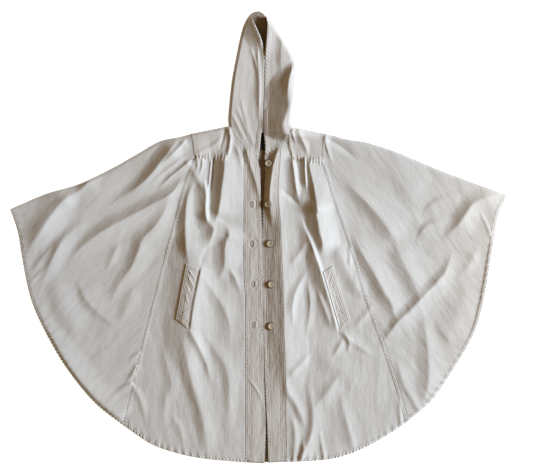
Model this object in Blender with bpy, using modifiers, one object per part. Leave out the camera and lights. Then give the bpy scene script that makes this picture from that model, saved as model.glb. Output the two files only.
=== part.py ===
"""Hooded cape of plain cotton, laid flat with its front up: the solids of its sewn pieces."""

import math
from collections import namedtuple

import bmesh
import bpy
import numpy as np
from mathutils import Vector
from mathutils.bvhtree import BVHTree

# Tables and sizes are in millimetres, and MM turns them into metres.
MM = 0.001

# Cloth
CLOTH = 1.6  # wall of the body panels and the hood
YOKE_CLOTH = 2.2  # the yoke is sewn double
BAND_CLOTH = 2.4  # the placket is folded over on itself
WELT_CLOTH = 2.0
SEAM_GAP = 0.3
LAYER_GAP = 0.6  # air between the front and the back layer at the hem
TOP_GAP = 0.5  # air under a piece that lies on a panel

# How the front layer stands over the back layer
LOFT = 5.0
HOOD_LOFT = 7.0
HOOD_FOOT_Y = 230.0
HOOD_RISE = 90.0
LOWEST = 1.0
HEM_FADE = 30.0
HEM_SHARE = 0.2
FOLD_FADE = 20.0
FOLD_SHARE = 0.5
RING_REACH = 5.0  # how far round itself a piece feels for the cloth under it
RING_PLACES = 8
FEELER_TOP = 200.0  # above all the cloth

# Cells of the panels
BODY_ROWS = 27
ROW_CROWDING = 1.3  # rows lie closer near the yoke
LAST_ROW = 0.975
WING_COLUMNS = 22
YOKE_COLUMNS = 16
NECK_COLUMNS = 3
BAND_COLUMNS = 3
YOKE_ROWS = 4
YOKE_BACK_ROWS = 2
BACK_TOP_COLUMNS = (12, 12, 12, 12)
HOOD_ROWS = 20
HOOD_FOOT_COLUMNS = (4, 2, 2, 2)
HOOD_BACK_FOOT_COLUMNS = (1, 3)
HOOD_BACK_TOP_COLUMNS = (2, 2)
ARC_CELLS = 4
ARC_SHARE = 0.35  # most of a narrow panel's width that its fold takes
ARC_STRETCH = 12.0  # stretch beside a fold whose places make room for it
ARC_INNER = 0.15  # least reach of a fold's inner face, as a share of its outer face

# Gathers that the yoke holds in
GATHERS = 8
GATHER_HEIGHT = 1.6
GATHER_BELOW = 70.0
GATHER_ABOVE = 14.0
GATHER_END = 0.125  # share of the yoke's edge over which the waves begin and end

# Form of the folds
CREST_STEPS = 4  # straight runs between two places of a crest
PINCH = 1.7  # how much steeper a pinched fold gets towards its crest

Place = namedtuple("Place", "x y")


def line(*spots):
    """A line of places in plan."""
    return np.array([Place(*spot) for spot in spots], float)


# Outline of the laid cape, one line for each run between seams: x, y
SHOULDER_LEFT = line((-180, 279), (-213, 270), (-265, 259), (-319, 229), (-389, 189), (-482, 144),
                     (-575, 116), (-669, 76))
SHOULDER_RIGHT = line((178, 279), (209, 272), (232, 265), (288, 256), (333, 243), (381, 226),
                      (493, 179), (630, 128), (669, 112))
HEM_WING_LEFT = line((-365, -507), (-442, -445), (-515, -356), (-567, -270), (-605, -190), (-623, -130),
                     (-638, -50), (-649, 15), (-669, 76))
HEM_WING_RIGHT = line((402, -496), (468, -438), (533, -343), (582, -254), (605, -175), (626, -54),
                      (639, 28), (648, 66), (669, 112))
HEM_FRONT_LEFT = line((-365, -507), (-288, -558), (-205, -586), (-136, -598), (-35, -607))
HEM_FRONT_RIGHT = line((402, -496), (344, -535), (282, -569), (220, -592), (177, -600), (73, -606))
HOOD_OUTLINE_LEFT = line((-81, 299), (-83, 316), (-79, 365), (-73, 420), (-63, 475), (-46, 555),
                         (-35, 583), (-22, 601))
HOOD_OUTLINE_RIGHT = line((94, 295), (90, 303), (92, 332), (96, 365), (98, 420), (97, 469), (83, 503),
                          (61, 538), (39, 571), (22, 592))
HOOD_TOP = (1, 610)
HOOD_CROWN = (0, 3)  # how the top of the hood's back bulges between its corners

# Seams: x, y
SIDE_SEAM_LEFT = line((-171, 214), (-191, 168), (-209, 110), (-227, 43), (-255, -62), (-301, -241),
                      (-337, -389), (-365, -507))
SIDE_SEAM_RIGHT = line((176, 202), (187, 173), (209, 99), (227, 47), (262, -59), (292, -162), (339, -293),
                       (375, -402), (402, -496))
YOKE_LEFT = line((-180, 279), (-171, 214), (-84, 214), (-73, 287), (-81, 299))
YOKE_RIGHT = line((178, 279), (176, 202), (92, 210), (80, 277), (94, 295))
NECK_LEFT = line((-73, 287), (-57, 262), (-40, 248), (-2, 209))
NECK_RIGHT = line((80, 277), (71, 269), (60, 257), (15, 213))
BACK_YOKE_LEFT = line((-178, 255), (-72, 276))
BACK_YOKE_RIGHT = line((177, 255), (84, 272))
BACK_NECK = (10, 284)

# Front bands and openings: x, y
BAND_SEAM_LEFT = line((-40, 248), (-40, 60), (-40, -90), (-36, -170), (-35, -607))
BAND_SEAM_RIGHT = line((60, 257), (56, 200), (51, 120), (57, 40), (59, -20), (64, -116), (66, -240),
                       (70, -361), (73, -606))
FRONT_EDGE_LEFT = line((-2, 209), (3, 180), (7, 60), (9, 0), (13, -250), (15, -400), (18.5, -500),
                       (16, -610))
FRONT_EDGE_RIGHT = line((15, 213), (12, 180), (11.5, 60), (9.5, 0), (13.5, -250), (17, -400), (22, -500),
                        (26, -608))
HOOD_EDGE_LEFT = line((-2, 209), (3, 240), (6, 274), (10.5, 295), (11.5, 338), (14, 392), (14.5, 447),
                      (15.5, 500), (6, 535), (-4, 558), (-13, 577), (-18, 591), (-15, 604))
HOOD_EDGE_RIGHT = line((15, 213), (17, 238), (13.5, 280), (11.2, 295), (12.2, 338), (14.7, 392),
                       (15.2, 447), (16.5, 495), (21, 535), (22.4, 560), (22.4, 577), (18.4, 599))

# Welts, from the upper left corner round: x, y
WELT_LEFT = line((-196, -71), (-161, -84), (-190, -246), (-224, -220))
WELT_RIGHT = line((173, -93), (198, -77), (247, -223), (219, -249))
WELT_COLUMNS = 4
WELT_ROWS = 14

# Buttons: x, y of each, and the turned profile from the top's centre out and down: radius, height
BUTTONS = line((25.4, 198.5), (24.3, 87.8), (30, -17.8), (33.5, -127.4), (33.2, -240))
BUTTON_PROFILE = line((0, 1.7), (6.4, 1.9), (8.0, 3.0), (10.1, 2.8), (10.6, 1.2), (9.6, 0), (0, 0))
BUTTON_STEPS = 14
BUTTON_RADIUS = 10.6

# Neck label, flat on the inside of the back
LABEL_CENTRE = (10, 257)
LABEL_SIZE = (46, 44)
LABEL_CLOTH = 1.0

# Folds of the front layer, each a ridge on a crest that runs down the cape: its height, how far its
# flanks reach to the left and the right, its form (0 round, 1 pinched, 2 like a roof), over what
# share of its length it comes up and dies away, and the places of its crest
Fold = namedtuple("Fold", "height left right form rise die crest")
FOLDS = [
    Fold(*row[:6], line(*row[6:]))
    for row in (
        # left side panel
        (13, 46, 90, 0.8, 0.25, 0.4, (-490, 140), (-530, 95), (-560, 55), (-595, 5), (-632, -50)),
        (9, 18, 64, 1.2, 0.35, 0.5, (-415, 183), (-445, 163), (-475, 132), (-515, 103), (-552, 68)),
        (8, 30, 44, 0.8, 0.5, 0.5, (-462, 56), (-520, 0), (-542, -32), (-562, -75), (-594, -140)),
        (3, 18, 20, 0.8, 0.4, 0.4, (-554, -16), (-582, -58), (-600, -82), (-618, -102)),
        (12, 34, 66, 0.9, 0.2, 0.5, (-196, 182), (-222, 132), (-245, 110), (-300, 80), (-350, 54),
         (-400, 27), (-450, -5), (-500, -52), (-540, -104)),
        (16, 36, 62, 0.9, 0.2, 0.7, (-208, 276), (-240, 232), (-262, 203), (-290, 168), (-318, 140),
         (-360, 112), (-422, 76)),
        (8, 17, 26, 1.1, 0.2, 0.6, (-192, 268), (-213, 242), (-232, 222), (-266, 192)),
        (4, 14, 20, 0.8, 0.3, 0.6, (-186, 228), (-225, 197), (-262, 168), (-300, 132)),
        (7, 15, 22, 0.9, 0.15, 0.5, (-178, 211), (-215, 180), (-245, 155), (-276, 122)),
        (9, 34, 48, 0.8, 0.3, 0.6, (-232, 130), (-257, 62), (-285, 22), (-313, -8), (-326, -45),
         (-345, -85), (-372, -122), (-392, -162), (-412, -220)),
        (2.5, 18, 18, 0.6, 0.4, 0.4, (-372, -4), (-395, -58), (-416, -98)),
        (4, 24, 60, 0.7, 0.3, 0.6, (-492, -106), (-470, -160), (-445, -190), (-410, -222), (-360, -258)),
        (8, 10, 62, 0.6, 0.3, 0.05, (-616, -120), (-598, -188), (-560, -266), (-510, -350), (-438, -438),
         (-368, -497)),
        (4, 12, 18, 0.9, 0.1, 0.7, (-336, -390), (-368, -408), (-406, -438)),
        (5, 60, 80, 0.3, 0.5, 0.5, (-350, 205), (-400, 158), (-440, 118), (-470, 85), (-510, 30)),
        (4, 45, 60, 0.0, 0.4, 0.4, (-560, -110), (-530, -180), (-480, -280)),
        (3, 30, 40, 0.4, 0.4, 0.4, (-330, -120), (-350, -180), (-380, -240)),
        # left front
        (10, 30, 44, 1.0, 0.2, 0.35, (-178, 150), (-186, 125), (-192, 100), (-196, 60), (-197, 10),
         (-194, -35), (-186, -84)),
        (4, 18, 40, 0.6, 0.3, 0.4, (-182, 190), (-170, 168), (-158, 148), (-150, 122)),
        (15, 34, 11, 1.5, 0.25, 0.3, (-150, 158), (-143, 130), (-141, 105), (-142, 72), (-138, 47),
         (-133, 34)),
        (11, 34, 34, 1.5, 0.35, 0.35, (-148, 78), (-139, 48), (-127, 33), (-121, 22), (-125, 5),
         (-140, -34)),
        (16, 36, 62, 1.4, 0.2, 0.22, (-91, 240), (-91, 200), (-94, 165), (-98, 138), (-101, 110),
         (-105, 85), (-110, 60), (-122, 32)),
        (12, 36, 46, 1.5, 0.3, 0.35, (-106, 54), (-88, 28), (-80, 11), (-79, 2), (-86, -8), (-90, -30),
         (-90, -60), (-95, -90), (-114, -122)),
        (-2, 14, 18, 1.0, 0.3, 0.3, (-132, -16), (-140, -34), (-150, -56), (-160, -84)),
        (4, 18, 15, 1.0, 0.4, 0.5, (-86, -74), (-62, -112), (-46, -162)),
        (5.5, 16, 30, 1.1, 0.12, 0.4, (-36, 246), (-28, 215), (-21, 188), (-10, 154), (-2, 120), (6, 82)),
        (3, 14, 8, 0.8, 0.2, 0.5, (-64, 252), (-50, 215), (-43, 170)),
        (5, 30, 40, 0.9, 0.4, 0.5, (-160, -90), (-120, -150), (-95, -190), (-80, -230), (-76, -296)),
        (6, 20, 26, 1.0, 0.15, 0.6, (-193, -238), (-175, -268), (-155, -308), (-140, -345), (-126, -404)),
        (7.5, 32, 46, 0.6, 0.4, 0.35, (-212, -248), (-193, -325), (-181, -385), (-165, -435), (-151, -490),
         (-143, -540), (-134, -612)),
        (4.2, 27, 36, 0.6, 0.3, 0.5, (-162, -238), (-115, -305), (-90, -345), (-80, -385), (-79, -430),
         (-84, -500), (-98, -575)),
        (3.5, 26, 30, 0.6, 0.4, 0.5, (-270, -280), (-245, -350), (-236, -400), (-250, -440), (-266, -530)),
        (3, 16, 20, 0.8, 0.15, 0.6, (-338, -400), (-318, -440), (-305, -505)),
        (2.5, 18, 18, 0.8, 0.4, 0.4, (-240, -470), (-212, -518), (-202, -568)),
        (12, 82, 80, 0.2, 0.3, 0.4, (-172, 30), (-176, -60), (-184, -150), (-194, -250), (-200, -330),
         (-206, -430)),
        # left yoke
        (2.5, 10, 16, 1.0, 0.3, 0.2, (-94, 284), (-107, 260), (-128, 244), (-150, 234), (-176, 221)),
        # plackets
        (19, 48, 66, 1.9, 0.15, 0.25, (50, 135), (57, 60), (60, 0), (61, -60), (64, -116), (66, -180),
         (68, -240), (70, -300), (72, -361), (73, -410), (74, -475)),
        (13, 17, 44, 1.4, 0.15, 0.4, (58, 250), (42, 205), (34, 160), (29, 110), (31, 72), (37, 20)),
        # right front
        (9, 27, 14, 1.0, 0.2, 0.25, (88, 226), (94, 186), (98, 155), (101, 132), (108, 100)),
        (-5, 14, 14, 1.0, 0.35, 0.35, (56, 132), (84, 109), (112, 82)),
        (9, 21, 7, 1.0, 0.1, 0.35, (124, 218), (125, 180), (127, 150), (128, 122)),
        (9, 12, 50, 1.6, 0.08, 0.08, (131, 216), (140, 171), (147, 141), (152, 112), (156, 84), (159, 60)),
        (14, 34, 50, 1.5, 0.2, 0.2, (140, 108), (151, 74), (158, 45), (163, 15), (169, -5), (172, -22),
         (168, -54)),
        (9, 36, 11, 0.9, 0.25, 0.1, (110, 62), (121, 32), (131, 6), (142, -20), (152, -48), (163, -80),
         (172, -110), (184, -148), (196, -190), (214, -260)),
        (3.5, 20, 20, 0.9, 0.3, 0.4, (132, -6), (116, -34), (100, -55), (80, -84)),
        (7, 34, 40, 0.3, 0.25, 0.3, (203, -12), (224, -56), (240, -92), (262, -135), (289, -170)),
        (3, 12, 14, 0.8, 0.3, 0.3, (244, -18), (246, -48), (244, -84)),
        (3.5, 20, 20, 0.8, 0.4, 0.5, (312, -178), (278, -222), (246, -252)),
        (6, 23, 18, 0.9, 0.4, 0.5, (134, -80), (108, -130), (95, -165), (90, -200), (95, -254)),
        (5, 17, 24, 0.9, 0.4, 0.5, (127, -102), (138, -165), (137, -205), (125, -282)),
        (4.5, 34, 12, 0.9, 0.4, 0.5, (154, -136), (176, -190), (199, -250)),
        (4.5, 13, 16, 1.0, 0.2, 0.5, (227, -252), (243, -284), (239, -320)),
        (4.5, 14, 18, 1.0, 0.2, 0.5, (231, -266), (212, -303), (193, -334)),
        (3, 14, 24, 0.8, 0.2, 0.6, (210, -246), (262, -290), (330, -335)),
        (4, 18, 16, 1.0, 0.5, 0.2, (148, -304), (108, -348), (79, -377)),
        (5, 18, 24, 0.8, 0.4, 0.4, (69, -362), (80, -420), (98, -448), (114, -482), (130, -528)),
        (6.5, 22, 36, 0.8, 0.4, 0.15, (131, -390), (143, -450), (146, -490), (143, -525), (130, -560),
         (109, -622)),
        (5, 26, 40, 0.8, 0.4, 0.4, (226, -358), (190, -410), (165, -440), (144, -475)),
        (3.5, 14, 16, 0.9, 0.3, 0.08, (85, -468), (97, -520), (97, -560), (91, -620)),
        (5, 30, 34, 0.9, 0.7, 0.25, (208, -388), (230, -470), (243, -520), (259, -585)),
        (3, 40, 60, 0.3, 0.4, 0.4, (130, -290), (200, -345), (300, -420)),
        (11, 100, 85, 0.2, 0.3, 0.4, (152, 190), (160, 80), (168, -30), (178, -120), (190, -230)),
        # right yoke
        (4.5, 15, 14, 1.1, 0.15, 0.4, (99, 301), (113, 268), (127, 240), (133, 212)),
        (3, 8, 14, 1.0, 0.15, 0.5, (181, 288), (180, 255), (187, 228), (200, 192)),
        # right side panel
        (-4.5, 18, 28, 1.0, 0.15, 0.6, (180, 270), (215, 248), (240, 230), (280, 198)),
        (9, 36, 85, 0.8, 0.5, 0.25, (216, 170), (262, 122), (292, 92), (322, 58), (348, 20), (384, -32)),
        (6, 44, 44, 0.8, 0.3, 0.2, (360, -6), (392, -75), (412, -115), (440, -176)),
        (10, 34, 60, 0.8, 0.3, 0.35, (246, 18), (285, -55), (312, -100), (338, -148), (360, -185),
         (371, -246)),
        (9, 24, 42, 1.1, 0.3, 0.35, (524, -30), (505, -88), (488, -112), (462, -140), (438, -165),
         (405, -200), (375, -228), (345, -268), (318, -306)),
        (11, 34, 48, 1.1, 0.25, 0.4, (666, 117), (610, 105), (575, 88), (557, 62), (535, 32), (488, -14)),
        (3.5, 14, 46, 0.8, 0.5, 0.4, (590, 112), (500, 105), (465, 88), (434, 52)),
        (4.5, 16, 46, 0.9, 0.5, 0.4, (545, 48), (470, 38), (440, 18), (421, -22)),
        (7, 38, 50, 1.1, 0.6, 0.25, (440, -176), (450, -260), (457, -330), (456, -395), (442, -456)),
        (3, 26, 26, 0.6, 0.4, 0.4, (594, -18), (570, -70), (542, -112)),
        (8, 16, 8, 0.6, 0.15, 0.4, (641, 24), (627, -54), (606, -175), (583, -254), (534, -345)),
        (3, 14, 26, 0.9, 0.3, 0.1, (366, -324), (390, -395), (412, -435), (439, -482)),
        (4, 60, 80, 0.3, 0.4, 0.4, (320, 240), (390, 150), (440, 70)),
        (4, 50, 60, 0.2, 0.4, 0.4, (570, -120), (535, -210), (495, -310)),
        (2.5, 20, 26, 0.6, 0.4, 0.4, (470, -215), (500, -262), (530, -300)),
        # hood, left half
        (5, 15, 8, 1.1, 0.2, 0.4, (-3, 518), (-1, 470), (1, 430), (1, 390), (0, 345), (-1, 298)),
        (12, 40, 8, 1.5, 0.1, 0.4, (-19, 608), (-12, 575), (-2, 550), (6, 530), (13, 492)),
        (6, 22, 52, 0.4, 0.3, 0.2, (-52, 550), (-62, 480), (-66, 420), (-72, 360), (-77, 296)),
        (2.5, 11, 16, 1.0, 0.3, 0.3, (-51, 388), (-38, 325), (-26, 280), (-8, 233)),
        # hood, right half
        (12, 6, 70, 1.0, 0.1, 0.4, (16, 609), (23, 580), (22, 550), (20, 520), (17, 470)),
        (5, 20, 44, 0.8, 0.3, 0.5, (68, 566), (60, 500), (60, 430)),
        (24, 60, 90, 1.8, 0.48, 0.12, (97, 474), (84, 434), (78, 402), (79, 375), (81, 350), (73, 325),
         (66, 303), (70, 282), (78, 252)),
        (9, 20, 30, 1.4, 0.25, 0.5, (97, 476), (85, 437), (79, 404), (79, 370)),
    )
]

# Colour, roughness and metallic value of each material
Finish = namedtuple("Finish", "colour roughness metallic")
FINISHES = {
    "cotton": Finish((0.60, 0.57, 0.52), 0.92, 0.0),
    "button_horn": Finish((0.62, 0.55, 0.38), 0.40, 0.0),
    "label_cloth": Finish((0.012, 0.012, 0.014), 0.85, 0.0),
}


def smoothstep(value):
    value = np.clip(value, 0, 1)
    return value * value * (3 - 2 * value)


def dense(knots, steps=12):
    """Points of a smooth line through the knots."""
    ends = np.vstack([2 * knots[0] - knots[1], knots, 2 * knots[-1] - knots[-2]])
    t = np.linspace(0, 1, steps, endpoint=False)[:, None]
    runs = []
    for before, start, end, after in zip(ends, ends[1:], ends[2:], ends[3:]):
        reach = np.linalg.norm(end - start)
        leave = (end - before) / (np.linalg.norm(start - before) + reach) * reach
        arrive = (after - start) / (np.linalg.norm(after - end) + reach) * reach
        runs.append(start * (2 * t**3 - 3 * t**2 + 1) + leave * (t**3 - 2 * t**2 + t)
                    + end * (3 * t**2 - 2 * t**3) + arrive * (t**3 - t**2))
    return np.vstack(runs + [knots[-1:]])


def smooth_line(knots, shares):
    """Points at these shares of the length of a smooth line through the knots."""
    points = dense(knots)
    reach = np.concatenate([[0], np.cumsum(np.linalg.norm(np.diff(points, axis=0), axis=1))])
    wanted = np.asarray(shares) * reach[-1]
    return np.stack([np.interp(wanted, reach, points[:, axis]) for axis in (0, 1)], axis=1)


def straight_line(knots, cells):
    """Points on straight runs between the knots, with this many cells in each run."""
    points = [knots[0]]
    for start, end, count in zip(knots, knots[1:], cells):
        for step in range(1, count + 1):
            points.append(start + (end - start) * step / count)
    return np.array(points)


def even(cells):
    return np.linspace(0, 1, cells + 1)


def signed_distance(points, path):
    """Distance in plan from each point to a line of straight runs, above 0 on the line's left."""
    nearest = np.full(points.shape[:-1], np.inf)
    for start, end in zip(path, path[1:]):
        run = end - start
        share = np.clip(((points - start) @ run) / (run @ run), 0, 1)
        gap = points - start - share[..., None] * run
        distance = np.hypot(gap[..., 0], gap[..., 1])
        side = np.sign(run[0] * gap[..., 1] - run[1] * gap[..., 0])
        nearest = np.where(distance < np.abs(nearest), distance * np.where(side < 0, -1, 1), nearest)
    return nearest


HEM_LINES = [dense(knots, 4) for knots in (HEM_WING_LEFT, HEM_FRONT_LEFT, HEM_FRONT_RIGHT, HEM_WING_RIGHT)]
FOLD_LINES = [
    dense(knots, 4)
    for knots in (SHOULDER_LEFT, SHOULDER_RIGHT, HOOD_OUTLINE_LEFT, HOOD_OUTLINE_RIGHT, YOKE_LEFT[[0, 4]],
                  YOKE_RIGHT[[0, 4]])
]


def near_any(points, lines):
    return np.min([np.abs(signed_distance(points, path)) for path in lines], axis=0)


def fold_height(fold, points):
    """Height of one fold over the points."""
    crest = dense(fold.crest, CREST_STEPS)
    signed = signed_distance(points, crest)
    chord = crest[-1] - crest[0]
    way = (points - crest[0]) @ chord / (chord @ chord)
    window = smoothstep(way / fold.rise) * smoothstep((1 - way) / fold.die)
    width = np.where(signed > 0, fold.right, fold.left) * (1 + window) / 2
    share = np.clip(np.abs(signed) / width, 0, 1)
    round_back = 0.5 + 0.5 * np.cos(math.pi * share)
    roof = 1 - share
    pinched = roof**PINCH
    form = round_back + (pinched - round_back) * min(fold.form, 1) + (roof - pinched) * max(fold.form - 1, 0)
    return fold.height * window * form


def gather_height(points, yoke):
    """Small waves that the yoke's lower edge holds in, from its outer to its inner corner."""
    outer, inner = yoke[1], yoke[2]
    run = inner - outer
    length = np.hypot(*run)
    run = run / length
    along = (points - outer) @ run / length
    below = (outer - points)[..., 1] + along * (inner - outer)[1]
    reach = np.where(below > 0, GATHER_BELOW, GATHER_ABOVE)
    ends = smoothstep(along / GATHER_END) * smoothstep((1 - along) / GATHER_END)
    window = smoothstep(1 - np.abs(below) / reach) * ends
    return -GATHER_HEIGHT * np.cos(2 * math.pi * GATHERS * along) * window


def relief(points):
    """Height of the front layer's inner face at these places in plan."""
    height = LOFT + HOOD_LOFT * smoothstep((points[..., 1] - HOOD_FOOT_Y) / HOOD_RISE)
    for fold in FOLDS:
        height = height + fold_height(fold, points)
    for yoke in (YOKE_LEFT, YOKE_RIGHT):
        height = height + gather_height(points, yoke)
    height = np.maximum(height, LOWEST)
    hem = HEM_SHARE + (1 - HEM_SHARE) * smoothstep(near_any(points, HEM_LINES) / HEM_FADE)
    edge = FOLD_SHARE + (1 - FOLD_SHARE) * smoothstep(near_any(points, FOLD_LINES) / FOLD_FADE)
    return CLOTH + LAYER_GAP + height * hem * edge


def patch(top, bottom, left, right, rows):
    """Places of a panel between four lines. Rows run from top to bottom and columns from left to right."""
    across = even(len(top) - 1)[None, :, None]
    down = np.asarray(rows)[:, None, None]
    corners = ((1 - across) * (1 - down) * top[0] + across * (1 - down) * top[-1]
               + (1 - across) * down * bottom[0] + across * down * bottom[-1])
    return ((1 - down) * top[None] + down * bottom[None] + (1 - across) * left[:, None]
            + across * right[:, None] - corners)


def inset(grid, top=True, bottom=True, left=True, right=True):
    """The panel with its chosen edges moved in by half a seam's gap."""
    moved = grid.copy()
    for chosen, edge, inner in (
        (top, np.s_[0], np.s_[1]),
        (bottom, np.s_[-1], np.s_[-2]),
        (left, np.s_[:, 0], np.s_[:, 1]),
        (right, np.s_[:, -1], np.s_[:, -2]),
    ):
        if chosen:
            run = np.gradient(grid[edge], axis=0)
            normal = np.stack([-run[:, 1], run[:, 0]], axis=1)
            normal /= np.linalg.norm(normal, axis=1)[:, None]
            side = np.sign(np.sum(normal * (grid[inner] - grid[edge]), axis=1))[:, None]
            moved[edge] += normal * side * SEAM_GAP / 2
    return moved


def raised(grid, height):
    """Places in plan with a height each."""
    return np.concatenate([grid, np.broadcast_to(height, grid.shape[:-1])[..., None]], axis=-1)


def material(name):
    found = bpy.data.materials.get(name)
    if found is None:
        finish = FINISHES[name]
        found = bpy.data.materials.new(name)
        found.use_nodes = True
        shader = found.node_tree.nodes["Principled BSDF"]
        shader.inputs["Base Color"].default_value = (*finish.colour, 1)
        shader.inputs["Roughness"].default_value = finish.roughness
        shader.inputs["Metallic"].default_value = finish.metallic
        found.diffuse_color = (*finish.colour, 1)
    return found


def add_object(name, mesh, finish, collection):
    mesh.materials.append(material(finish))
    part = bpy.data.objects.new(name, mesh)
    collection.objects.link(part)
    return part


def cloth_wall(name, inner, outer, collection, finish="cotton"):
    """A closed wall of cloth between its inner and its outer face."""
    rows, columns = inner.shape[0] - 1, inner.shape[1] - 1
    bm = bmesh.new()
    bmesh.ops.create_grid(bm, x_segments=columns, y_segments=rows, size=0.5)
    cells = {vert: (round((vert.co.y + 0.5) * rows), round((vert.co.x + 0.5) * columns)) for vert in bm.verts}
    grown = bmesh.ops.extrude_face_region(bm, geom=bm.faces[:])
    lifted = [item for item in grown["geom"] if isinstance(item, bmesh.types.BMVert)]
    places = {vert: outer[round((vert.co.y + 0.5) * rows), round((vert.co.x + 0.5) * columns)]
              for vert in lifted}
    places.update({vert: inner[cell] for vert, cell in cells.items()})
    for vert, place in places.items():
        vert.co = Vector(place) * MM
    bmesh.ops.recalc_face_normals(bm, faces=bm.faces[:])
    if bm.calc_volume(signed=True) < 0:
        bmesh.ops.reverse_faces(bm, faces=bm.faces[:])
    for face in bm.faces:
        face.smooth = True
    mesh = bpy.data.meshes.new(name)
    bm.to_mesh(mesh)
    bm.free()
    return add_object(name, mesh, finish, collection)


def front_panel(name, grid, wall, collection):
    """A panel that lies whole in the front layer."""
    grid = inset(grid)
    floor = relief(grid)
    return cloth_wall(name, raised(grid, floor), raised(grid, floor + wall), collection)


def drawn_in(row, reach):
    """A row of places whose last stretch is pressed together, so that it ends this far from the outline."""
    walked = np.concatenate([[0], np.cumsum(np.linalg.norm(np.diff(row, axis=0), axis=1))])
    left = walked[-1] - walked
    stretch = min(max(ARC_STRETCH, 2 * reach), left[0])
    left = np.where(left < stretch, reach + left * (1 - reach / stretch), left)
    return np.stack([np.interp(walked[-1] - left, walked, row[:, axis]) for axis in (0, 1)], axis=1)


def folded_panel(name, front, back, wall, collection):
    """A panel that runs up the front layer, round the fold at the outline and down the back layer.

    Each row of the two grids crosses the panel. The front's last column and the back's first lie
    on the outline.
    """
    front = inset(front, right=False)
    back = inset(back, left=False)
    outline = front[:, -1]
    width = np.linalg.norm(outline - front[:, 0], axis=1)
    reach = np.minimum((relief(outline) + wall) / 2, ARC_SHARE * width)
    front = np.array([drawn_in(row, span) for row, span in zip(front, reach)])
    back = np.array([drawn_in(row[::-1], span)[::-1] for row, span in zip(back, reach)])
    floor = relief(front)
    rise = (floor[:, -1] + wall) / 2
    inner = [raised(front, floor)]
    outer = [raised(front, floor + wall)]
    for angle in np.linspace(math.pi / 2, -math.pi / 2, ARC_CELLS + 1)[1:-1]:
        upper = (1 + math.sin(angle)) / 2
        base = front[:, -1] * upper + back[:, 0] * (1 - upper)
        for faces, less in ((inner, wall), (outer, 0.0)):
            share = np.maximum(1 - less / reach, ARC_INNER)[:, None] * math.cos(angle)
            section = raised(base + (outline - base) * share, rise + (rise - less) * math.sin(angle))
            faces.append(section[:, None])
    inner.append(raised(back, wall))
    outer.append(raised(back, 0.0))
    return cloth_wall(name, np.concatenate(inner, axis=1), np.concatenate(outer, axis=1), collection)


BODY_SHARES = np.append(even(BODY_ROWS - 1) ** ROW_CROWDING * LAST_ROW, 1.0)


def wing(name, yoke, side_seam, shoulder, hem, back_corner, collection):
    """Side panel, from the side seam over the shoulder's fold to the side seam at the back."""
    cells = even(WING_COLUMNS)
    fold = smooth_line(shoulder, BODY_SHARES)
    hem_line = smooth_line(hem, cells)
    front = patch(straight_line(yoke[[1, 0]], [WING_COLUMNS]), hem_line,
                  smooth_line(side_seam, BODY_SHARES), fold, BODY_SHARES)
    back_seam = smooth_line(np.vstack([back_corner, side_seam[1:]]), BODY_SHARES)
    back = patch(straight_line(np.array([yoke[0], back_corner]), [WING_COLUMNS]), hem_line[::-1],
                 fold, back_seam, BODY_SHARES)
    return folded_panel(name, front, back, CLOTH, collection)


def front(name, yoke, neck, side_seam, band_seam, hem, collection):
    """Front panel, gathered into the yoke, from the side seam to the front band."""
    top = straight_line(np.vstack([yoke[1:4], neck[1:3]]), [YOKE_COLUMNS, NECK_COLUMNS, 1, 1])
    bottom = smooth_line(hem, even(len(top) - 1))
    grid = patch(top, bottom, smooth_line(side_seam, BODY_SHARES), smooth_line(band_seam, BODY_SHARES),
                 BODY_SHARES)
    return front_panel(name, grid, CLOTH, collection)


def front_band(name, neck, band_seam, front_edge, collection):
    """Placket, the folded band down the front edge."""
    top = straight_line(neck[2:4], [BAND_COLUMNS])
    bottom = straight_line(np.array([band_seam[-1], front_edge[-1]]), [BAND_COLUMNS])
    grid = patch(top, bottom, smooth_line(band_seam, BODY_SHARES), smooth_line(front_edge, BODY_SHARES),
                 BODY_SHARES)
    return front_panel(name, grid, BAND_CLOTH, collection)


def shoulder_yoke(name, yoke, back_yoke, collection):
    """Yoke, from its gathered lower edge over the shoulder to the back."""
    columns = even(YOKE_COLUMNS)
    outer = straight_line(yoke[[1, 0]], [YOKE_ROWS])
    inner = straight_line(yoke[2:5], [YOKE_ROWS - 1, 1])
    fold = straight_line(yoke[[0, 4]], [YOKE_COLUMNS])
    face = patch(outer, inner, straight_line(yoke[1:3], [YOKE_COLUMNS]), fold, columns)
    back = patch(straight_line(np.array([yoke[0], back_yoke[0]]), [YOKE_BACK_ROWS]),
                 straight_line(np.array([yoke[4], back_yoke[1]]), [YOKE_BACK_ROWS]), fold,
                 straight_line(back_yoke, [YOKE_COLUMNS]), columns)
    return folded_panel(name, face, back, YOKE_CLOTH, collection)


def hood_half(name, neck, yoke, edge, outline, back_yoke, collection):
    """Half of the hood, from its front edge round the outer fold to the seam at the centre of the back."""
    rows = even(HOOD_ROWS)
    foot = straight_line(np.vstack([neck[::-1], yoke[4]]), HOOD_FOOT_COLUMNS)
    fold = smooth_line(outline, rows)
    face = patch(foot, straight_line(np.array([edge[-1], outline[-1]]), [len(foot) - 1]),
                 smooth_line(edge, rows), fold, rows)
    back_foot = straight_line(np.array([yoke[4], back_yoke[1], BACK_NECK]), HOOD_BACK_FOOT_COLUMNS)
    crown = (outline[-1] + HOOD_TOP) / 2 + HOOD_CROWN
    back_top = straight_line(np.array([outline[-1], crown, HOOD_TOP]), HOOD_BACK_TOP_COLUMNS)
    centre = straight_line(np.array([BACK_NECK, HOOD_TOP], float), [HOOD_ROWS])
    back = patch(back_foot, back_top, fold, centre, rows)
    return folded_panel(name, face, back, CLOTH, collection)


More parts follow.
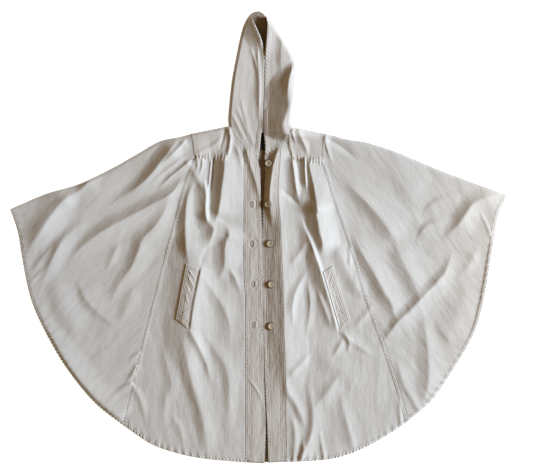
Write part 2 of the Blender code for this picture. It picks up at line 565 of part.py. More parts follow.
def back_panel(collection):
    """Back of the body, flat on the ground."""
    seam_left = smooth_line(np.vstack([BACK_YOKE_LEFT[0], SIDE_SEAM_LEFT[1:]]), BODY_SHARES)
    seam_right = smooth_line(np.vstack([BACK_YOKE_RIGHT[0], SIDE_SEAM_RIGHT[1:]]), BODY_SHARES)
    top = straight_line(np.vstack([BACK_YOKE_LEFT, BACK_NECK, BACK_YOKE_RIGHT[::-1]]), BACK_TOP_COLUMNS)
    hem = np.vstack([HEM_FRONT_LEFT, HEM_FRONT_RIGHT[::-1]])
    grid = inset(patch(top, smooth_line(hem, even(len(top) - 1)), seam_left, seam_right, BODY_SHARES))
    return cloth_wall("back_center", raised(grid, 0.0), raised(grid, CLOTH), collection)


def feeler(part):
    """A search tree over a part's faces, in millimetres."""
    points = [vert.co / MM for vert in part.data.vertices]
    return BVHTree.FromPolygons(points, [tuple(face.vertices) for face in part.data.polygons])


def height_under(tree, place, reach):
    """Highest point of the cloth within reach of a place."""
    turns = np.arange(RING_PLACES) * 2 * math.pi / RING_PLACES
    heights = []
    for shift in [(0, 0)] + [(math.cos(turn) * reach, math.sin(turn) * reach) for turn in turns]:
        above = Vector((place[0] + shift[0], place[1] + shift[1], FEELER_TOP))
        hit = tree.ray_cast(above, Vector((0, 0, -1)))
        if hit[0] is not None:
            heights.append(hit[0].z)
    return max(heights)


def welt(name, corners, panel, collection):
    """Pocket welt, a stitched band that lies on its front panel."""
    upper_left, upper_right, lower_right, lower_left = corners
    rows = even(WELT_ROWS)
    grid = patch(straight_line(np.array([upper_left, upper_right]), [WELT_COLUMNS]),
                 straight_line(np.array([lower_left, lower_right]), [WELT_COLUMNS]),
                 straight_line(np.array([upper_left, lower_left]), [WELT_ROWS]),
                 straight_line(np.array([upper_right, lower_right]), [WELT_ROWS]), rows)
    tree = feeler(panel)
    floor = np.array([[height_under(tree, place, RING_REACH) for place in row] for row in grid]) + TOP_GAP
    return cloth_wall(name, raised(grid, floor), raised(grid, floor + WELT_CLOTH), collection)


def button(name, place, tree, collection):
    """A turned button with a raised rim."""
    mesh = bpy.data.meshes.new(name)
    profile = [(radius * MM, 0, height * MM) for radius, height in BUTTON_PROFILE]
    mesh.from_pydata(profile, [(i, i + 1) for i in range(len(profile) - 1)], [])
    part = add_object(name, mesh, "button_horn", collection)
    turn = part.modifiers.new("turn", "SCREW")
    turn.steps = BUTTON_STEPS
    turn.render_steps = BUTTON_STEPS
    turn.use_merge_vertices = True
    turn.merge_threshold = 0.0001
    height = height_under(tree, place, BUTTON_RADIUS) + TOP_GAP
    part.location = Vector((*place, height)) * MM
    return part


def neck_label(collection):
    """Plain dark label on the inside of the back, under the hood."""
    centre = np.array(LABEL_CENTRE, float)
    half = np.array(LABEL_SIZE, float) / 2
    bpy.ops.mesh.primitive_cube_add(size=1)
    part = bpy.context.object
    part.name = "neck_label"
    part.scale = (2 * half[0] * MM, 2 * half[1] * MM, LABEL_CLOTH * MM)
    part.location = Vector((*centre, CLOTH + SEAM_GAP + LABEL_CLOTH / 2)) * MM
    part.data.materials.append(material("label_cloth"))
    for owner in part.users_collection:
        owner.objects.unlink(part)
    collection.objects.link(part)
    return part


def main():
    for leftover in list(bpy.data.objects):
        bpy.data.objects.remove(leftover, do_unlink=True)
    cape = bpy.data.collections.new("hooded_cape")
    bpy.context.scene.collection.children.link(cape)

    back_panel(cape)
    wing("wing_left", YOKE_LEFT, SIDE_SEAM_LEFT, SHOULDER_LEFT, HEM_WING_LEFT, BACK_YOKE_LEFT[0], cape)
    wing("wing_right", YOKE_RIGHT, SIDE_SEAM_RIGHT, SHOULDER_RIGHT, HEM_WING_RIGHT, BACK_YOKE_RIGHT[0], cape)
    left = front("front_left", YOKE_LEFT, NECK_LEFT, SIDE_SEAM_LEFT, BAND_SEAM_LEFT, HEM_FRONT_LEFT, cape)
    right = front("front_right", YOKE_RIGHT, NECK_RIGHT, SIDE_SEAM_RIGHT, BAND_SEAM_RIGHT, HEM_FRONT_RIGHT,
                  cape)
    front_band("placket_left", NECK_LEFT, BAND_SEAM_LEFT, FRONT_EDGE_LEFT, cape)
    band = front_band("placket_right", NECK_RIGHT, BAND_SEAM_RIGHT, FRONT_EDGE_RIGHT, cape)
    shoulder_yoke("yoke_left", YOKE_LEFT, BACK_YOKE_LEFT, cape)
    shoulder_yoke("yoke_right", YOKE_RIGHT, BACK_YOKE_RIGHT, cape)
    hood_half("hood_left", NECK_LEFT, YOKE_LEFT, HOOD_EDGE_LEFT, HOOD_OUTLINE_LEFT, BACK_YOKE_LEFT, cape)
    hood_half("hood_right", NECK_RIGHT, YOKE_RIGHT, HOOD_EDGE_RIGHT, HOOD_OUTLINE_RIGHT, BACK_YOKE_RIGHT,
              cape)
    welt("pocket_welt_left", WELT_LEFT, left, cape)
    welt("pocket_welt_right", WELT_RIGHT, right, cape)
    tree = feeler(band)
    for count, place in enumerate(BUTTONS, 1):
        button(f"button_{count}", place, tree, cape)
    neck_label(cape)


main()
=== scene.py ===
import math
from collections import namedtuple

import bpy
import numpy as np
from mathutils import Matrix, Vector
from mathutils.bvhtree import BVHTree


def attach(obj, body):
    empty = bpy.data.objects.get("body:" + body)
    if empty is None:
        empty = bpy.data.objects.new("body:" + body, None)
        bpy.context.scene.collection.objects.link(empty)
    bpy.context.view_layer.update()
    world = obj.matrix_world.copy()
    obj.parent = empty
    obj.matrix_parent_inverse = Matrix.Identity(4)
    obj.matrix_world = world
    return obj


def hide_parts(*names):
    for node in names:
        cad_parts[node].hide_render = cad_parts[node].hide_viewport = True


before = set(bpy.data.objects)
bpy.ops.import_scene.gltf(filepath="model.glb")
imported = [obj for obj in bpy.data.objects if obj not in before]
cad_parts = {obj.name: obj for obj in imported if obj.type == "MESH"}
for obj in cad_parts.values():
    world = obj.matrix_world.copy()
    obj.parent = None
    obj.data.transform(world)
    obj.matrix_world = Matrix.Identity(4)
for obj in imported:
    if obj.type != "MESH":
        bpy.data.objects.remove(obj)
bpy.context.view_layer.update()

mm = 0.001  # the tables are in millimetres, Blender works in metres

cloth = dict(
    wall=1.6,  # body and hood
    yokeWall=2.2,
    bandWall=2.4,
    weltWall=2.0,
    seamGap=0.3,
    layerGap=0.6,  # air between front and back at the hem
    topGap=0.5,  # under the welts
)
stand = dict(
    loft=5.0, hoodLoft=7.0, hoodFoot=230.0, hoodRise=90.0, lowest=1.0, thinnest=0.3,
    hemFade=12.0, hemShare=0.45, foldFade=9.0, foldShare=0.6,
)
# steps of the pieces' grids: rows run down the cape or up the hood, the others across
cells = dict(
    bodyRows=210, bandRows=330, rowCrowding=1.1, lastRow=0.99, wing=130, wingBack=20, yoke=84, yokeSide=10,
    frontNeck=4, band=36, yokeRows=25, yokeNeck=5, yokeBack=6, hoodRows=150, hoodBand=26, hoodNeck=6,
    hoodShoulder=4, hoodBack=8, hoodTop=6, back=9, arc=8,
)


def path(*spots):
    return np.array(spots, float)


# outline of the laid cape, one run between two seams each: x, y
outline = dict(
    shoulderLeft=path((-180, 279), (-213, 270), (-265, 259), (-319, 229), (-389, 189), (-482, 144),
                      (-575, 116), (-669, 76)),
    shoulderRight=path((178, 279), (209, 272), (232, 265), (288, 256), (333, 243), (381, 226),
                       (493, 179), (630, 128), (669, 112)),
    hemWingLeft=path((-365, -507), (-442, -445), (-515, -356), (-567, -270), (-605, -190), (-623, -130),
                     (-638, -50), (-649, 15), (-669, 76)),
    hemWingRight=path((402, -496), (468, -438), (533, -343), (582, -254), (605, -175), (626, -54),
                      (639, 28), (648, 66), (669, 112)),
    hemFrontLeft=path((-365, -507), (-288, -558), (-205, -586), (-136, -598), (-35, -607)),
    hemFrontRight=path((402, -496), (344, -535), (282, -569), (220, -592), (177, -600), (73, -606)),
    hoodLeft=path((-81, 299), (-83, 316), (-79, 365), (-73, 420), (-63, 475), (-46, 555), (-35, 583),
                  (-22, 601)),
    hoodRight=path((94, 295), (90, 303), (92, 332), (96, 365), (98, 420), (97, 469), (83, 503), (61, 538),
                   (39, 571), (22, 592)),
    hoodTop=path((1, 610)),
)
seam = dict(
    sideLeft=path((-171, 214), (-191, 168), (-209, 110), (-227, 43), (-255, -62), (-301, -241), (-337, -389),
                  (-365, -507)),
    sideRight=path((176, 202), (187, 173), (209, 99), (227, 47), (262, -59), (292, -162), (339, -293),
                   (375, -402), (402, -496)),
    yokeLeft=path((-180, 279), (-171, 214), (-84, 214), (-73, 287), (-81, 299)),
    yokeRight=path((178, 279), (176, 202), (92, 210), (80, 277), (94, 295)),
    neckLeft=path((-73, 287), (-57, 262), (-40, 248), (-2, 209)),
    neckRight=path((80, 277), (71, 269), (60, 257), (15, 213)),
    backYokeLeft=path((-178, 255), (-72, 276)),
    backYokeRight=path((177, 255), (84, 272)),
    backNeck=path((10, 284)),
    bandLeft=path((-40, 248), (-40, 60), (-40, -90), (-36, -170), (-35, -607)),
    bandRight=path((60, 257), (56, 200), (51, 120), (57, 40), (59, -20), (64, -116), (66, -240), (70, -361),
                   (73, -606)),
    edgeLeft=path((-2, 209), (3, 180), (7, 60), (9, 0), (13, -250), (15, -400), (18.5, -500), (16, -610)),
    edgeRight=path((15, 213), (17.5, 185), (15.5, 140), (12.5, 95), (11, 60), (9.5, 0), (13.5, -250),
                   (17, -400), (22, -500), (26, -608)),
    hoodEdgeLeft=path((-2, 209), (3, 240), (6, 274), (10.5, 295), (11.5, 338), (14, 392), (14.5, 447),
                      (15.5, 500), (6, 535), (-4, 558), (-13, 577), (-18, 591), (-15, 604)),
    hoodEdgeRight=path((15, 213), (17, 238), (13.5, 280), (11.2, 295), (12.2, 338), (14.7, 392), (15.2, 447),
                       (16.5, 495), (21, 535), (22.4, 560), (22.4, 577), (18.4, 599)),
)
welts = dict(  # corners of the pocket welts, from the upper left one clockwise
    Left=path((-196, -71), (-161, -84), (-190, -246), (-224, -220)),
    Right=path((173, -93), (198, -77), (247, -223), (219, -249)),
)
buttonPlaces = path((25.4, 198.5), (24.3, 87.8), (30, -17.8), (33.5, -127.4), (33.2, -240))

# each fold is a ridge on a line that runs down the cape: its height, how far its flanks reach to the
# left and the right, its form (0 round, 1 pinched, 2 like a roof), over what share of its length it
# rises and dies, and the points of its crest; a trough has a negative height
Fold = namedtuple("Fold", "height left right form rise die crest")
folds = [Fold(*row[:6], path(*row[6:])) for row in (
    # left side panel
    (15, 64, 54, 1.0, 0.25, 0.4, (-490, 140), (-530, 95), (-560, 55), (-595, 5), (-632, -50)),
    (9, 18, 44, 1.2, 0.35, 0.5, (-415, 183), (-445, 163), (-475, 132), (-515, 103), (-552, 68)),
    (8, 30, 44, 0.8, 0.5, 0.5, (-462, 56), (-520, 0), (-542, -32), (-562, -75), (-594, -140)),
    (3, 18, 20, 0.8, 0.4, 0.4, (-554, -16), (-582, -58), (-600, -82), (-618, -102)),
    (1.6, 8, 7, 1.0, 0.3, 0.2, (-570, -80), (-600, -108), (-619, -127)),
    (12, 34, 52, 0.9, 0.2, 0.5, (-196, 182), (-222, 132), (-245, 110), (-300, 80), (-350, 54), (-400, 27),
     (-450, -5), (-500, -52), (-540, -104)),
    (16, 36, 52, 0.9, 0.2, 0.7, (-208, 276), (-240, 232), (-262, 203), (-290, 168), (-318, 140), (-360, 112),
     (-422, 76)),
    (8, 17, 26, 1.1, 0.2, 0.6, (-192, 268), (-213, 242), (-232, 222), (-266, 192)),
    (4, 14, 20, 0.8, 0.3, 0.6, (-186, 228), (-225, 197), (-262, 168), (-300, 132)),
    (7, 15, 22, 0.9, 0.15, 0.5, (-178, 211), (-215, 180), (-245, 155), (-276, 122)),
    (9, 34, 48, 0.8, 0.3, 0.6, (-232, 130), (-257, 62), (-285, 22), (-313, -8), (-326, -45), (-345, -85),
     (-372, -122), (-392, -162), (-412, -220)),
    (2.5, 18, 18, 0.6, 0.4, 0.4, (-372, -4), (-395, -58), (-416, -98)),
    (4, 24, 60, 0.7, 0.3, 0.6, (-492, -106), (-470, -160), (-445, -190), (-410, -222), (-360, -258)),
    (8, 24, 62, 0.6, 0.7, 0.05, (-616, -120), (-598, -188), (-560, -266), (-510, -350), (-438, -438),
     (-368, -497)),
    (3, 9, 12, 0.9, 0.1, 0.7, (-326, -342), (-345, -372), (-361, -388)),
    (2.5, 8, 11, 0.9, 0.1, 0.7, (-331, -364), (-350, -382), (-370, -398)),
    (4, 12, 18, 0.9, 0.1, 0.7, (-336, -390), (-368, -408), (-406, -438)),
    (2.5, 9, 12, 0.9, 0.1, 0.7, (-317, -308), (-340, -326), (-353, -348)),
    (5, 60, 80, 0.3, 0.5, 0.5, (-350, 205), (-400, 158), (-440, 118), (-470, 85), (-510, 30)),
    (4, 45, 60, 0.0, 0.4, 0.4, (-560, -110), (-530, -180), (-480, -280)),
    (6, 95, 45, 0.2, 0.3, 0.4, (-166, 290), (-170, 200), (-180, 110)),
    (3, 30, 40, 0.4, 0.4, 0.4, (-330, -120), (-350, -180), (-380, -240)),
    # left front
    (10, 30, 44, 1.0, 0.2, 0.35, (-178, 150), (-186, 125), (-192, 100), (-196, 60), (-197, 10), (-194, -35),
     (-186, -84)),
    (4, 18, 40, 0.6, 0.3, 0.4, (-182, 190), (-170, 168), (-158, 148), (-150, 122)),
    (13, 34, 10, 1.5, 0.25, 0.3, (-150, 158), (-143, 130), (-141, 105), (-142, 72), (-138, 47), (-133, 34)),
    (11, 34, 34, 1.5, 0.35, 0.35, (-148, 78), (-139, 48), (-127, 33), (-121, 22), (-125, 5), (-140, -34)),
    (3, 7, 5, 1.2, 0.1, 0.3, (-127, 216), (-130, 185), (-133, 155), (-137, 125), (-140, 100)),
    (-10, 5, 5, 1.2, 0.08, 0.6, (-121, 218), (-123, 190), (-125, 165), (-128, 140), (-129, 105)),
    (16, 36, 62, 1.4, 0.2, 0.22, (-91, 240), (-91, 200), (-94, 165), (-98, 138), (-101, 110), (-105, 85),
     (-110, 60), (-122, 32)),
    (4, 11, 12, 1.0, 0.1, 0.8, (-153, 215), (-152, 192), (-163, 154)),
    (3.5, 10, 9, 1.0, 0.1, 0.8, (-166, 214), (-164, 192), (-168, 168)),
    (12, 36, 46, 1.5, 0.3, 0.35, (-106, 54), (-88, 28), (-80, 11), (-79, 2), (-86, -8), (-90, -30),
     (-90, -60), (-95, -90), (-114, -122)),
    (-2, 14, 18, 1.0, 0.3, 0.3, (-132, -16), (-140, -34), (-150, -56), (-160, -84)),
    (4, 18, 15, 1.0, 0.4, 0.5, (-86, -74), (-62, -112), (-46, -162)),
    (5.5, 16, 30, 1.1, 0.12, 0.4, (-36, 246), (-28, 215), (-21, 188), (-10, 154), (-2, 120), (6, 82)),
    (3, 14, 8, 0.8, 0.2, 0.5, (-64, 252), (-50, 215), (-43, 170)),
    (5, 30, 40, 0.9, 0.4, 0.5, (-160, -90), (-120, -150), (-95, -190), (-80, -230), (-76, -296)),
    (6, 20, 26, 1.0, 0.15, 0.6, (-193, -238), (-175, -268), (-155, -308), (-140, -345), (-126, -404)),
    (7.5, 32, 46, 0.6, 0.4, 0.35, (-212, -248), (-193, -325), (-181, -385), (-165, -435), (-151, -490),
     (-143, -540), (-134, -612)),
    (4.2, 27, 36, 0.6, 0.3, 0.5, (-162, -238), (-115, -305), (-90, -345), (-80, -385), (-79, -430),
     (-84, -500), (-98, -575)),
    (3.5, 26, 30, 0.6, 0.4, 0.5, (-270, -280), (-245, -350), (-236, -400), (-250, -440), (-266, -530)),
    (3, 16, 20, 0.8, 0.15, 0.6, (-338, -400), (-318, -440), (-305, -505)),
    (2.5, 18, 18, 0.8, 0.4, 0.4, (-240, -470), (-212, -518), (-202, -568)),
    (13.5, 82, 80, 0.2, 0.15, 0.4, (-172, 30), (-176, -60), (-184, -150), (-194, -250), (-200, -330),
     (-206, -430)),
    (1.6, 7, 7, 0.8, 0.3, 0.3, (-34, -372), (-4, -414), (12, -452)),
    # left yoke
    (5, 12, 8, 1.2, 0.15, 0.3, (-81, 302), (-76, 264), (-79, 236), (-88, 206)),
    (-3, 12, 8, 1.0, 0.15, 0.6, (-88, 298), (-98, 262), (-107, 226)),
    (2.5, 10, 16, 1.0, 0.3, 0.2, (-94, 284), (-107, 260), (-128, 244), (-150, 234), (-176, 221)),
    # the left welt's groove
    (5, 6, 40, 1.2, 0.08, 0.08, (-153, -78), (-162, -120), (-176, -190), (-184, -252)),
    # plackets
    (13, 48, 66, 1.7, 0.15, 0.25, (50, 135), (57, 60), (60, 0), (61, -60), (64, -116), (66, -180), (68, -240),
     (70, -300), (72, -361), (73, -410), (74, -475)),
    (13, 17, 44, 1.4, 0.15, 0.4, (58, 250), (42, 205), (34, 160), (29, 110), (31, 72), (37, 20)),
    # right front
    (9, 27, 14, 1.0, 0.2, 0.25, (88, 226), (94, 186), (98, 155), (101, 132), (108, 100)),
    (-5, 14, 14, 1.0, 0.35, 0.35, (56, 132), (84, 109), (112, 82)),
    (9, 21, 7, 1.0, 0.1, 0.35, (124, 218), (125, 180), (127, 150), (128, 122)),
    (9, 12, 50, 1.6, 0.08, 0.08, (131, 216), (140, 171), (147, 141), (152, 112), (156, 84), (159, 60)),
    (14, 34, 50, 1.5, 0.2, 0.2, (140, 108), (151, 74), (158, 45), (163, 15), (169, -5), (172, -22),
     (168, -54)),
    (9, 36, 11, 0.9, 0.25, 0.1, (110, 62), (121, 32), (131, 6), (142, -20), (152, -48), (163, -80),
     (172, -110), (184, -148), (196, -190), (214, -260)),
    (3.5, 20, 20, 0.9, 0.3, 0.4, (132, -6), (116, -34), (100, -55), (80, -84)),
    (7, 34, 40, 0.3, 0.25, 0.3, (203, -12), (224, -56), (240, -92), (262, -135), (289, -170)),
    (3, 12, 14, 0.8, 0.3, 0.3, (244, -18), (246, -48), (244, -84)),
    (3.5, 20, 20, 0.8, 0.4, 0.5, (312, -178), (278, -222), (246, -252)),
    (6, 23, 18, 0.9, 0.4, 0.5, (134, -80), (108, -130), (95, -165), (90, -200), (95, -254)),
    (5, 17, 24, 0.9, 0.4, 0.5, (127, -102), (138, -165), (137, -205), (125, -282)),
    (4.5, 34, 12, 0.9, 0.4, 0.5, (154, -136), (176, -190), (199, -250)),
    (3.6, 13, 16, 1.0, 0.4, 0.5, (227, -252), (243, -284), (239, -320)),
    (3.6, 14, 18, 1.0, 0.4, 0.5, (231, -266), (212, -303), (193, -334)),
    (3, 14, 24, 0.8, 0.2, 0.6, (210, -246), (262, -290), (330, -335)),
    (4, 18, 16, 1.0, 0.5, 0.2, (148, -304), (108, -348), (79, -377)),
    (5, 18, 24, 0.8, 0.4, 0.4, (69, -362), (80, -420), (98, -448), (114, -482), (130, -528)),
    (6.5, 22, 36, 0.8, 0.4, 0.15, (131, -390), (143, -450), (146, -490), (143, -525), (130, -560),
     (109, -622)),
    (5, 26, 40, 0.8, 0.4, 0.4, (226, -358), (190, -410), (165, -440), (144, -475)),
    (3.5, 14, 16, 0.9, 0.3, 0.08, (85, -468), (97, -520), (97, -560), (91, -620)),
    (3, 10, 10, 0.8, 0.3, 0.1, (118, -544), (120, -572), (106, -615)),
    (5, 30, 34, 0.9, 0.7, 0.25, (208, -388), (230, -470), (243, -520), (259, -585)),
    (3, 10, 10, 0.8, 0.5, 0.1, (164, -510), (170, -560), (179, -605)),
    (2.5, 12, 8, 0.8, 0.3, 0.2, (378, -430), (384, -506)),
    (3, 40, 60, 0.3, 0.4, 0.4, (130, -290), (200, -345), (300, -420)),
    (11, 100, 85, 0.2, 0.3, 0.4, (152, 190), (160, 80), (168, -30), (178, -120), (190, -230)),
    # right yoke
    (4.5, 15, 14, 1.1, 0.15, 0.4, (99, 301), (113, 268), (127, 240), (133, 212)),
    (3.5, 8, 8, 1.0, 0.2, 0.4, (90, 303), (90, 280), (101, 250)),
    (3, 7, 10, 1.0, 0.3, 0.2, (81, 272), (84, 240), (94, 212)),
    (3, 8, 14, 1.0, 0.15, 0.5, (181, 288), (180, 255), (187, 228), (200, 192)),
    # right side panel
    (-4.5, 18, 28, 1.0, 0.15, 0.6, (180, 270), (215, 248), (240, 230), (280, 198)),
    (9, 36, 85, 0.8, 0.5, 0.25, (216, 170), (262, 122), (292, 92), (322, 58), (348, 20), (384, -32)),
    (8, 46, 60, 0.8, 0.3, 0.2, (360, -6), (392, -75), (412, -115), (440, -176)),
    (10, 34, 60, 0.8, 0.3, 0.35, (246, 18), (285, -55), (312, -100), (338, -148), (360, -185), (371, -246)),
    (9, 24, 42, 1.1, 0.3, 0.35, (524, -30), (505, -88), (488, -112), (462, -140), (438, -165), (405, -200),
     (375, -228), (345, -268), (318, -306)),
    (11, 34, 48, 1.1, 0.25, 0.4, (666, 117), (610, 105), (575, 88), (557, 62), (535, 32), (488, -14)),
    (3.5, 14, 46, 0.8, 0.5, 0.4, (590, 112), (500, 105), (465, 88), (434, 52)),
    (4.5, 16, 46, 0.9, 0.5, 0.4, (545, 48), (470, 38), (440, 18), (421, -22)),
    (7, 38, 50, 1.1, 0.6, 0.25, (440, -176), (450, -260), (457, -330), (456, -395), (442, -456)),
    (2.5, 10, 8, 1.0, 0.3, 0.3, (593, 72), (615, 30), (630, -12)),
    (3, 26, 26, 0.6, 0.4, 0.4, (594, -18), (570, -70), (542, -112)),
    (8, 16, 8, 0.6, 0.15, 0.4, (641, 24), (627, -54), (606, -175), (583, -254), (534, -345)),
    (3, 14, 26, 0.9, 0.3, 0.1, (366, -324), (390, -395), (412, -435), (439, -482)),
    (4, 60, 80, 0.3, 0.4, 0.4, (320, 240), (390, 150), (440, 70)),
    (4, 50, 60, 0.2, 0.4, 0.4, (570, -120), (535, -210), (495, -310)),
    (2.5, 20, 26, 0.6, 0.4, 0.4, (470, -215), (500, -262), (530, -300)),
    # hood, left half
    (5, 15, 8, 1.1, 0.2, 0.4, (-3, 518), (-1, 470), (1, 430), (1, 390), (0, 345), (-1, 298)),
    (2.5, 10, 7, 1.0, 0.3, 0.5, (-23, 518), (-11, 475), (-4, 436)),
    (15, 40, 8, 1.5, 0.1, 0.4, (-19, 608), (-12, 575), (-2, 550), (6, 530), (13, 492)),
    (6, 22, 52, 0.4, 0.3, 0.2, (-52, 550), (-62, 480), (-66, 420), (-72, 360), (-77, 296)),
    (2.5, 11, 16, 1.0, 0.3, 0.3, (-51, 388), (-38, 325), (-26, 280), (-8, 233)),
    (2.2, 10, 12, 1.0, 0.3, 0.3, (-76, 340), (-55, 295), (-33, 252)),
    (2, 8, 10, 1.0, 0.3, 0.3, (-63, 360), (-44, 310), (-25, 262)),
    # hood, right half
    (12, 6, 70, 1.0, 0.1, 0.4, (16, 609), (23, 580), (22, 550), (20, 520), (17, 470)),
    (5, 20, 44, 0.8, 0.3, 0.5, (68, 566), (60, 500), (60, 430)),
    (26.5, 60, 90, 1.8, 0.44, 0.12, (97, 474), (84, 434), (78, 402), (79, 375), (81, 350), (73, 325),
     (66, 303), (70, 282), (78, 252)),
    (9, 20, 30, 1.4, 0.25, 0.5, (97, 476), (85, 437), (79, 404), (79, 370)),
)]

# fine waves beside the sewn lines: height, spacing, reach to each side and lean
puckers = dict(
    side=dict(height=0.45, pitch=12.0, reach=10.0, lean=1.3),
    band=dict(height=0.65, pitch=9.5, reach=16.0, lean=0.9),
    neck=dict(height=0.5, pitch=10.0, reach=10.0, lean=0.3),
    hem=dict(height=1.2, pitch=21.0, reach=26.0, lean=0.3),
)
# rows of stitches pressed into the front bands: distance from the band's seam and from its free edge
bandRows = dict(
    fromSeam=(3.5, 9.0, 14.0), fromEdge=(2.5, 7.5, 12.5), depth=0.62, width=1.2,
    wander=0.45, wanderReach=19, ticks=0.8, pitch=8.0,
)
# buttonholes of the left band: x, y, and the ring of cloth that each one draws in
buttonholes = path((-15.9, 87.8), (-14.4, -17.8), (-11.6, -125.8), (-10.3, -236))
holeRing = dict(acrossReach=9.0, alongReach=12.5, depth=1.1, width=0.21)
# where the yoke seams are gathered: share of the seam, height, width, reach above and below
tucks = (
    (0.05, 2.2, 4.5, 13, 9), (0.14, 2.9, 5.0, 17, 14), (0.24, 2.3, 4.0, 12, 8), (0.33, 2.9, 4.8, 19, 12),
    (0.43, 3.0, 5.0, 20, 16), (0.54, 2.1, 4.2, 12, 8), (0.63, 2.7, 4.8, 16, 13), (0.73, 2.2, 4.2, 12, 16),
    (0.83, 2.5, 4.6, 15, 20), (0.93, 1.9, 4.0, 10, 12),
)
tuckLook = dict(lean=0.12, turn=9, sharp=1.7)
ridge = dict(tip=0.002, tipDrop=0.045, tipSpan=0.956, pinch=1.7)  # how sharp a fold's crest can be
# how a row of puckers runs off its beat, as two swings, and how its strength swings round a middle: the
# share of each swing and its reach along the row
wander = dict(
    cloth=((0.9, 31), (0.5, 13), 0.62, (0.38, 53)),
    band=((0.9, 29), (0.6, 12.7), 0.65, (0.35, 41)),
)
# the viewer's left and right, and the side of a seam's line on which its sewn band lies: 1 is the line's left
hands = dict(Left=1, Right=-1)


def smoothStep(value):
    value = np.clip(value, 0, 1)
    return value * value * (3 - 2 * value)


def dense(knots, steps=12):  # points of a smooth line through the knots
    ends = np.vstack([2 * knots[0] - knots[1], knots, 2 * knots[-1] - knots[-2]])
    t = np.linspace(0, 1, steps, endpoint=False)[:, None]
    runs = []
    for before, start, end, after in zip(ends, ends[1:], ends[2:], ends[3:]):
        reach = np.linalg.norm(end - start)
        leave = (end - before) / (np.linalg.norm(start - before) + reach) * reach
        arrive = (after - start) / (np.linalg.norm(after - end) + reach) * reach
        runs.append(start * (2 * t**3 - 3 * t**2 + 1) + leave * (t**3 - 2 * t**2 + t)
                    + end * (3 * t**2 - 2 * t**3) + arrive * (t**3 - t**2))
    return np.vstack(runs + [knots[-1:]])


def cutShort(knots, start, end):  # the line without this much of its first and last runs
    first = knots[0] + (knots[1] - knots[0]) * start / np.linalg.norm(knots[1] - knots[0])
    last = knots[-1] + (knots[-2] - knots[-1]) * end / np.linalg.norm(knots[-2] - knots[-1])
    return np.vstack([first, knots[1:-1], last])


def stepLengths(points):
    return np.linalg.norm(np.diff(points, axis=0), axis=1)


def ways(points):  # how far along its line each point is
    return np.concatenate([[0], np.cumsum(stepLengths(points))])


def lineLength(line):
    return np.sum(stepLengths(dense(line, 6)))


def courses(points):  # direction of the line at each of its points, and the direction to its left
    run = np.gradient(points, axis=0)
    run /= np.linalg.norm(run, axis=-1)[..., None]
    return run, np.stack([-run[..., 1], run[..., 0]], axis=-1)


def smoothLine(knots, shares):
    points = dense(knots)
    reach = ways(points)
    wanted = np.asarray(shares) * reach[-1]
    return np.stack([np.interp(wanted, reach, points[:, axis]) for axis in (0, 1)], axis=1)


def straight(counts, *spots):  # a line of straight runs, with this many steps in each run
    points = [spots[0]]
    for start, end, count in zip(spots, spots[1:], counts):
        points += [start + (end - start) * step / count for step in range(1, count + 1)]
    return np.array(points)


def even(count):
    return np.linspace(0, 1, count + 1)


def along(points, line):  # distance to a line of straight runs, signed to its left, and the way along it
    nearest = np.full(points.shape[:-1], np.inf)
    signed = np.zeros(points.shape[:-1])
    walked = np.zeros(points.shape[:-1])
    passed = 0.0
    for start, end in zip(line, line[1:]):
        run = end - start
        length = np.hypot(*run)
        share = np.clip(((points - start) @ run) / length**2, 0, 1)
        gap = points - start - share[..., None] * run
        distance = np.hypot(gap[..., 0], gap[..., 1])
        side = np.sign(run[0] * gap[..., 1] - run[1] * gap[..., 0])
        closer = distance < nearest
        nearest = np.where(closer, distance, nearest)
        signed = np.where(closer, distance * side, signed)
        walked = np.where(closer, passed + share * length, walked)
        passed += length
    return signed, walked


hemLines = [dense(outline[name], 4)
            for name in ("hemWingLeft", "hemFrontLeft", "hemFrontRight", "hemWingRight")]
foldLines = [dense(outline[name], 4) for name in ("shoulderLeft", "shoulderRight", "hoodLeft", "hoodRight")]
foldLines += [seam["yoke" + hand][[0, 4]] for hand in hands]


def nearAny(points, lines):
    return np.min([np.abs(along(points, line)[0]) for line in lines], axis=0)


def foldHeight(fold, points):  # the fold's own height at each point, 0 beyond its flanks
    line = dense(fold.crest, 5)
    reach = 1.1 * max(fold.left, fold.right)
    near = np.all((points > line.min(axis=0) - reach) & (points < line.max(axis=0) + reach), axis=-1)
    height = np.zeros(points.shape[:-1])
    if near.any():
        across = along(points[near], line)[0]
        chord = line[-1] - line[0]
        way = (points[near] - line[0]) @ chord / (chord @ chord)
        window = smoothStep(way / fold.rise) * smoothStep((1 - way) / fold.die)
        width = np.where(across > 0, fold.right, fold.left) * (0.5 + 0.5 * window)
        share = np.clip(np.abs(across) / width, 0, 1)
        soft = 0.5 + 0.5 * np.cos(math.pi * share)
        roof = 1 - (np.sqrt(share**2 + ridge["tip"]) - ridge["tipDrop"]) / ridge["tipSpan"]
        pinched = roof**ridge["pinch"]
        form = soft + (pinched - soft) * min(fold.form, 1) + (roof - pinched) * max(fold.form - 1, 0)
        height[near] = fold.height * window * form
    return height


def tuckHeight(points, yoke):
    outer, inner = yoke[1], yoke[2]
    run = inner - outer
    length = np.hypot(*run)
    run = run / length
    way = (points - outer) @ run
    above = (points - outer) @ (np.array((-run[1], run[0])) * (1 if run[0] > 0 else -1))
    height = np.zeros(points.shape[:-1])
    for share, tall, width, up, down in tucks:
        reach = np.where(above > 0, up, down)
        lean = tuckLook["lean"] * above * math.sin(tuckLook["turn"] * share)
        off = (way - share * length - lean) / width * tuckLook["sharp"]
        height = height + tall * np.exp(-off ** 2) * smoothStep(1 - np.abs(above) / reach)
    return height


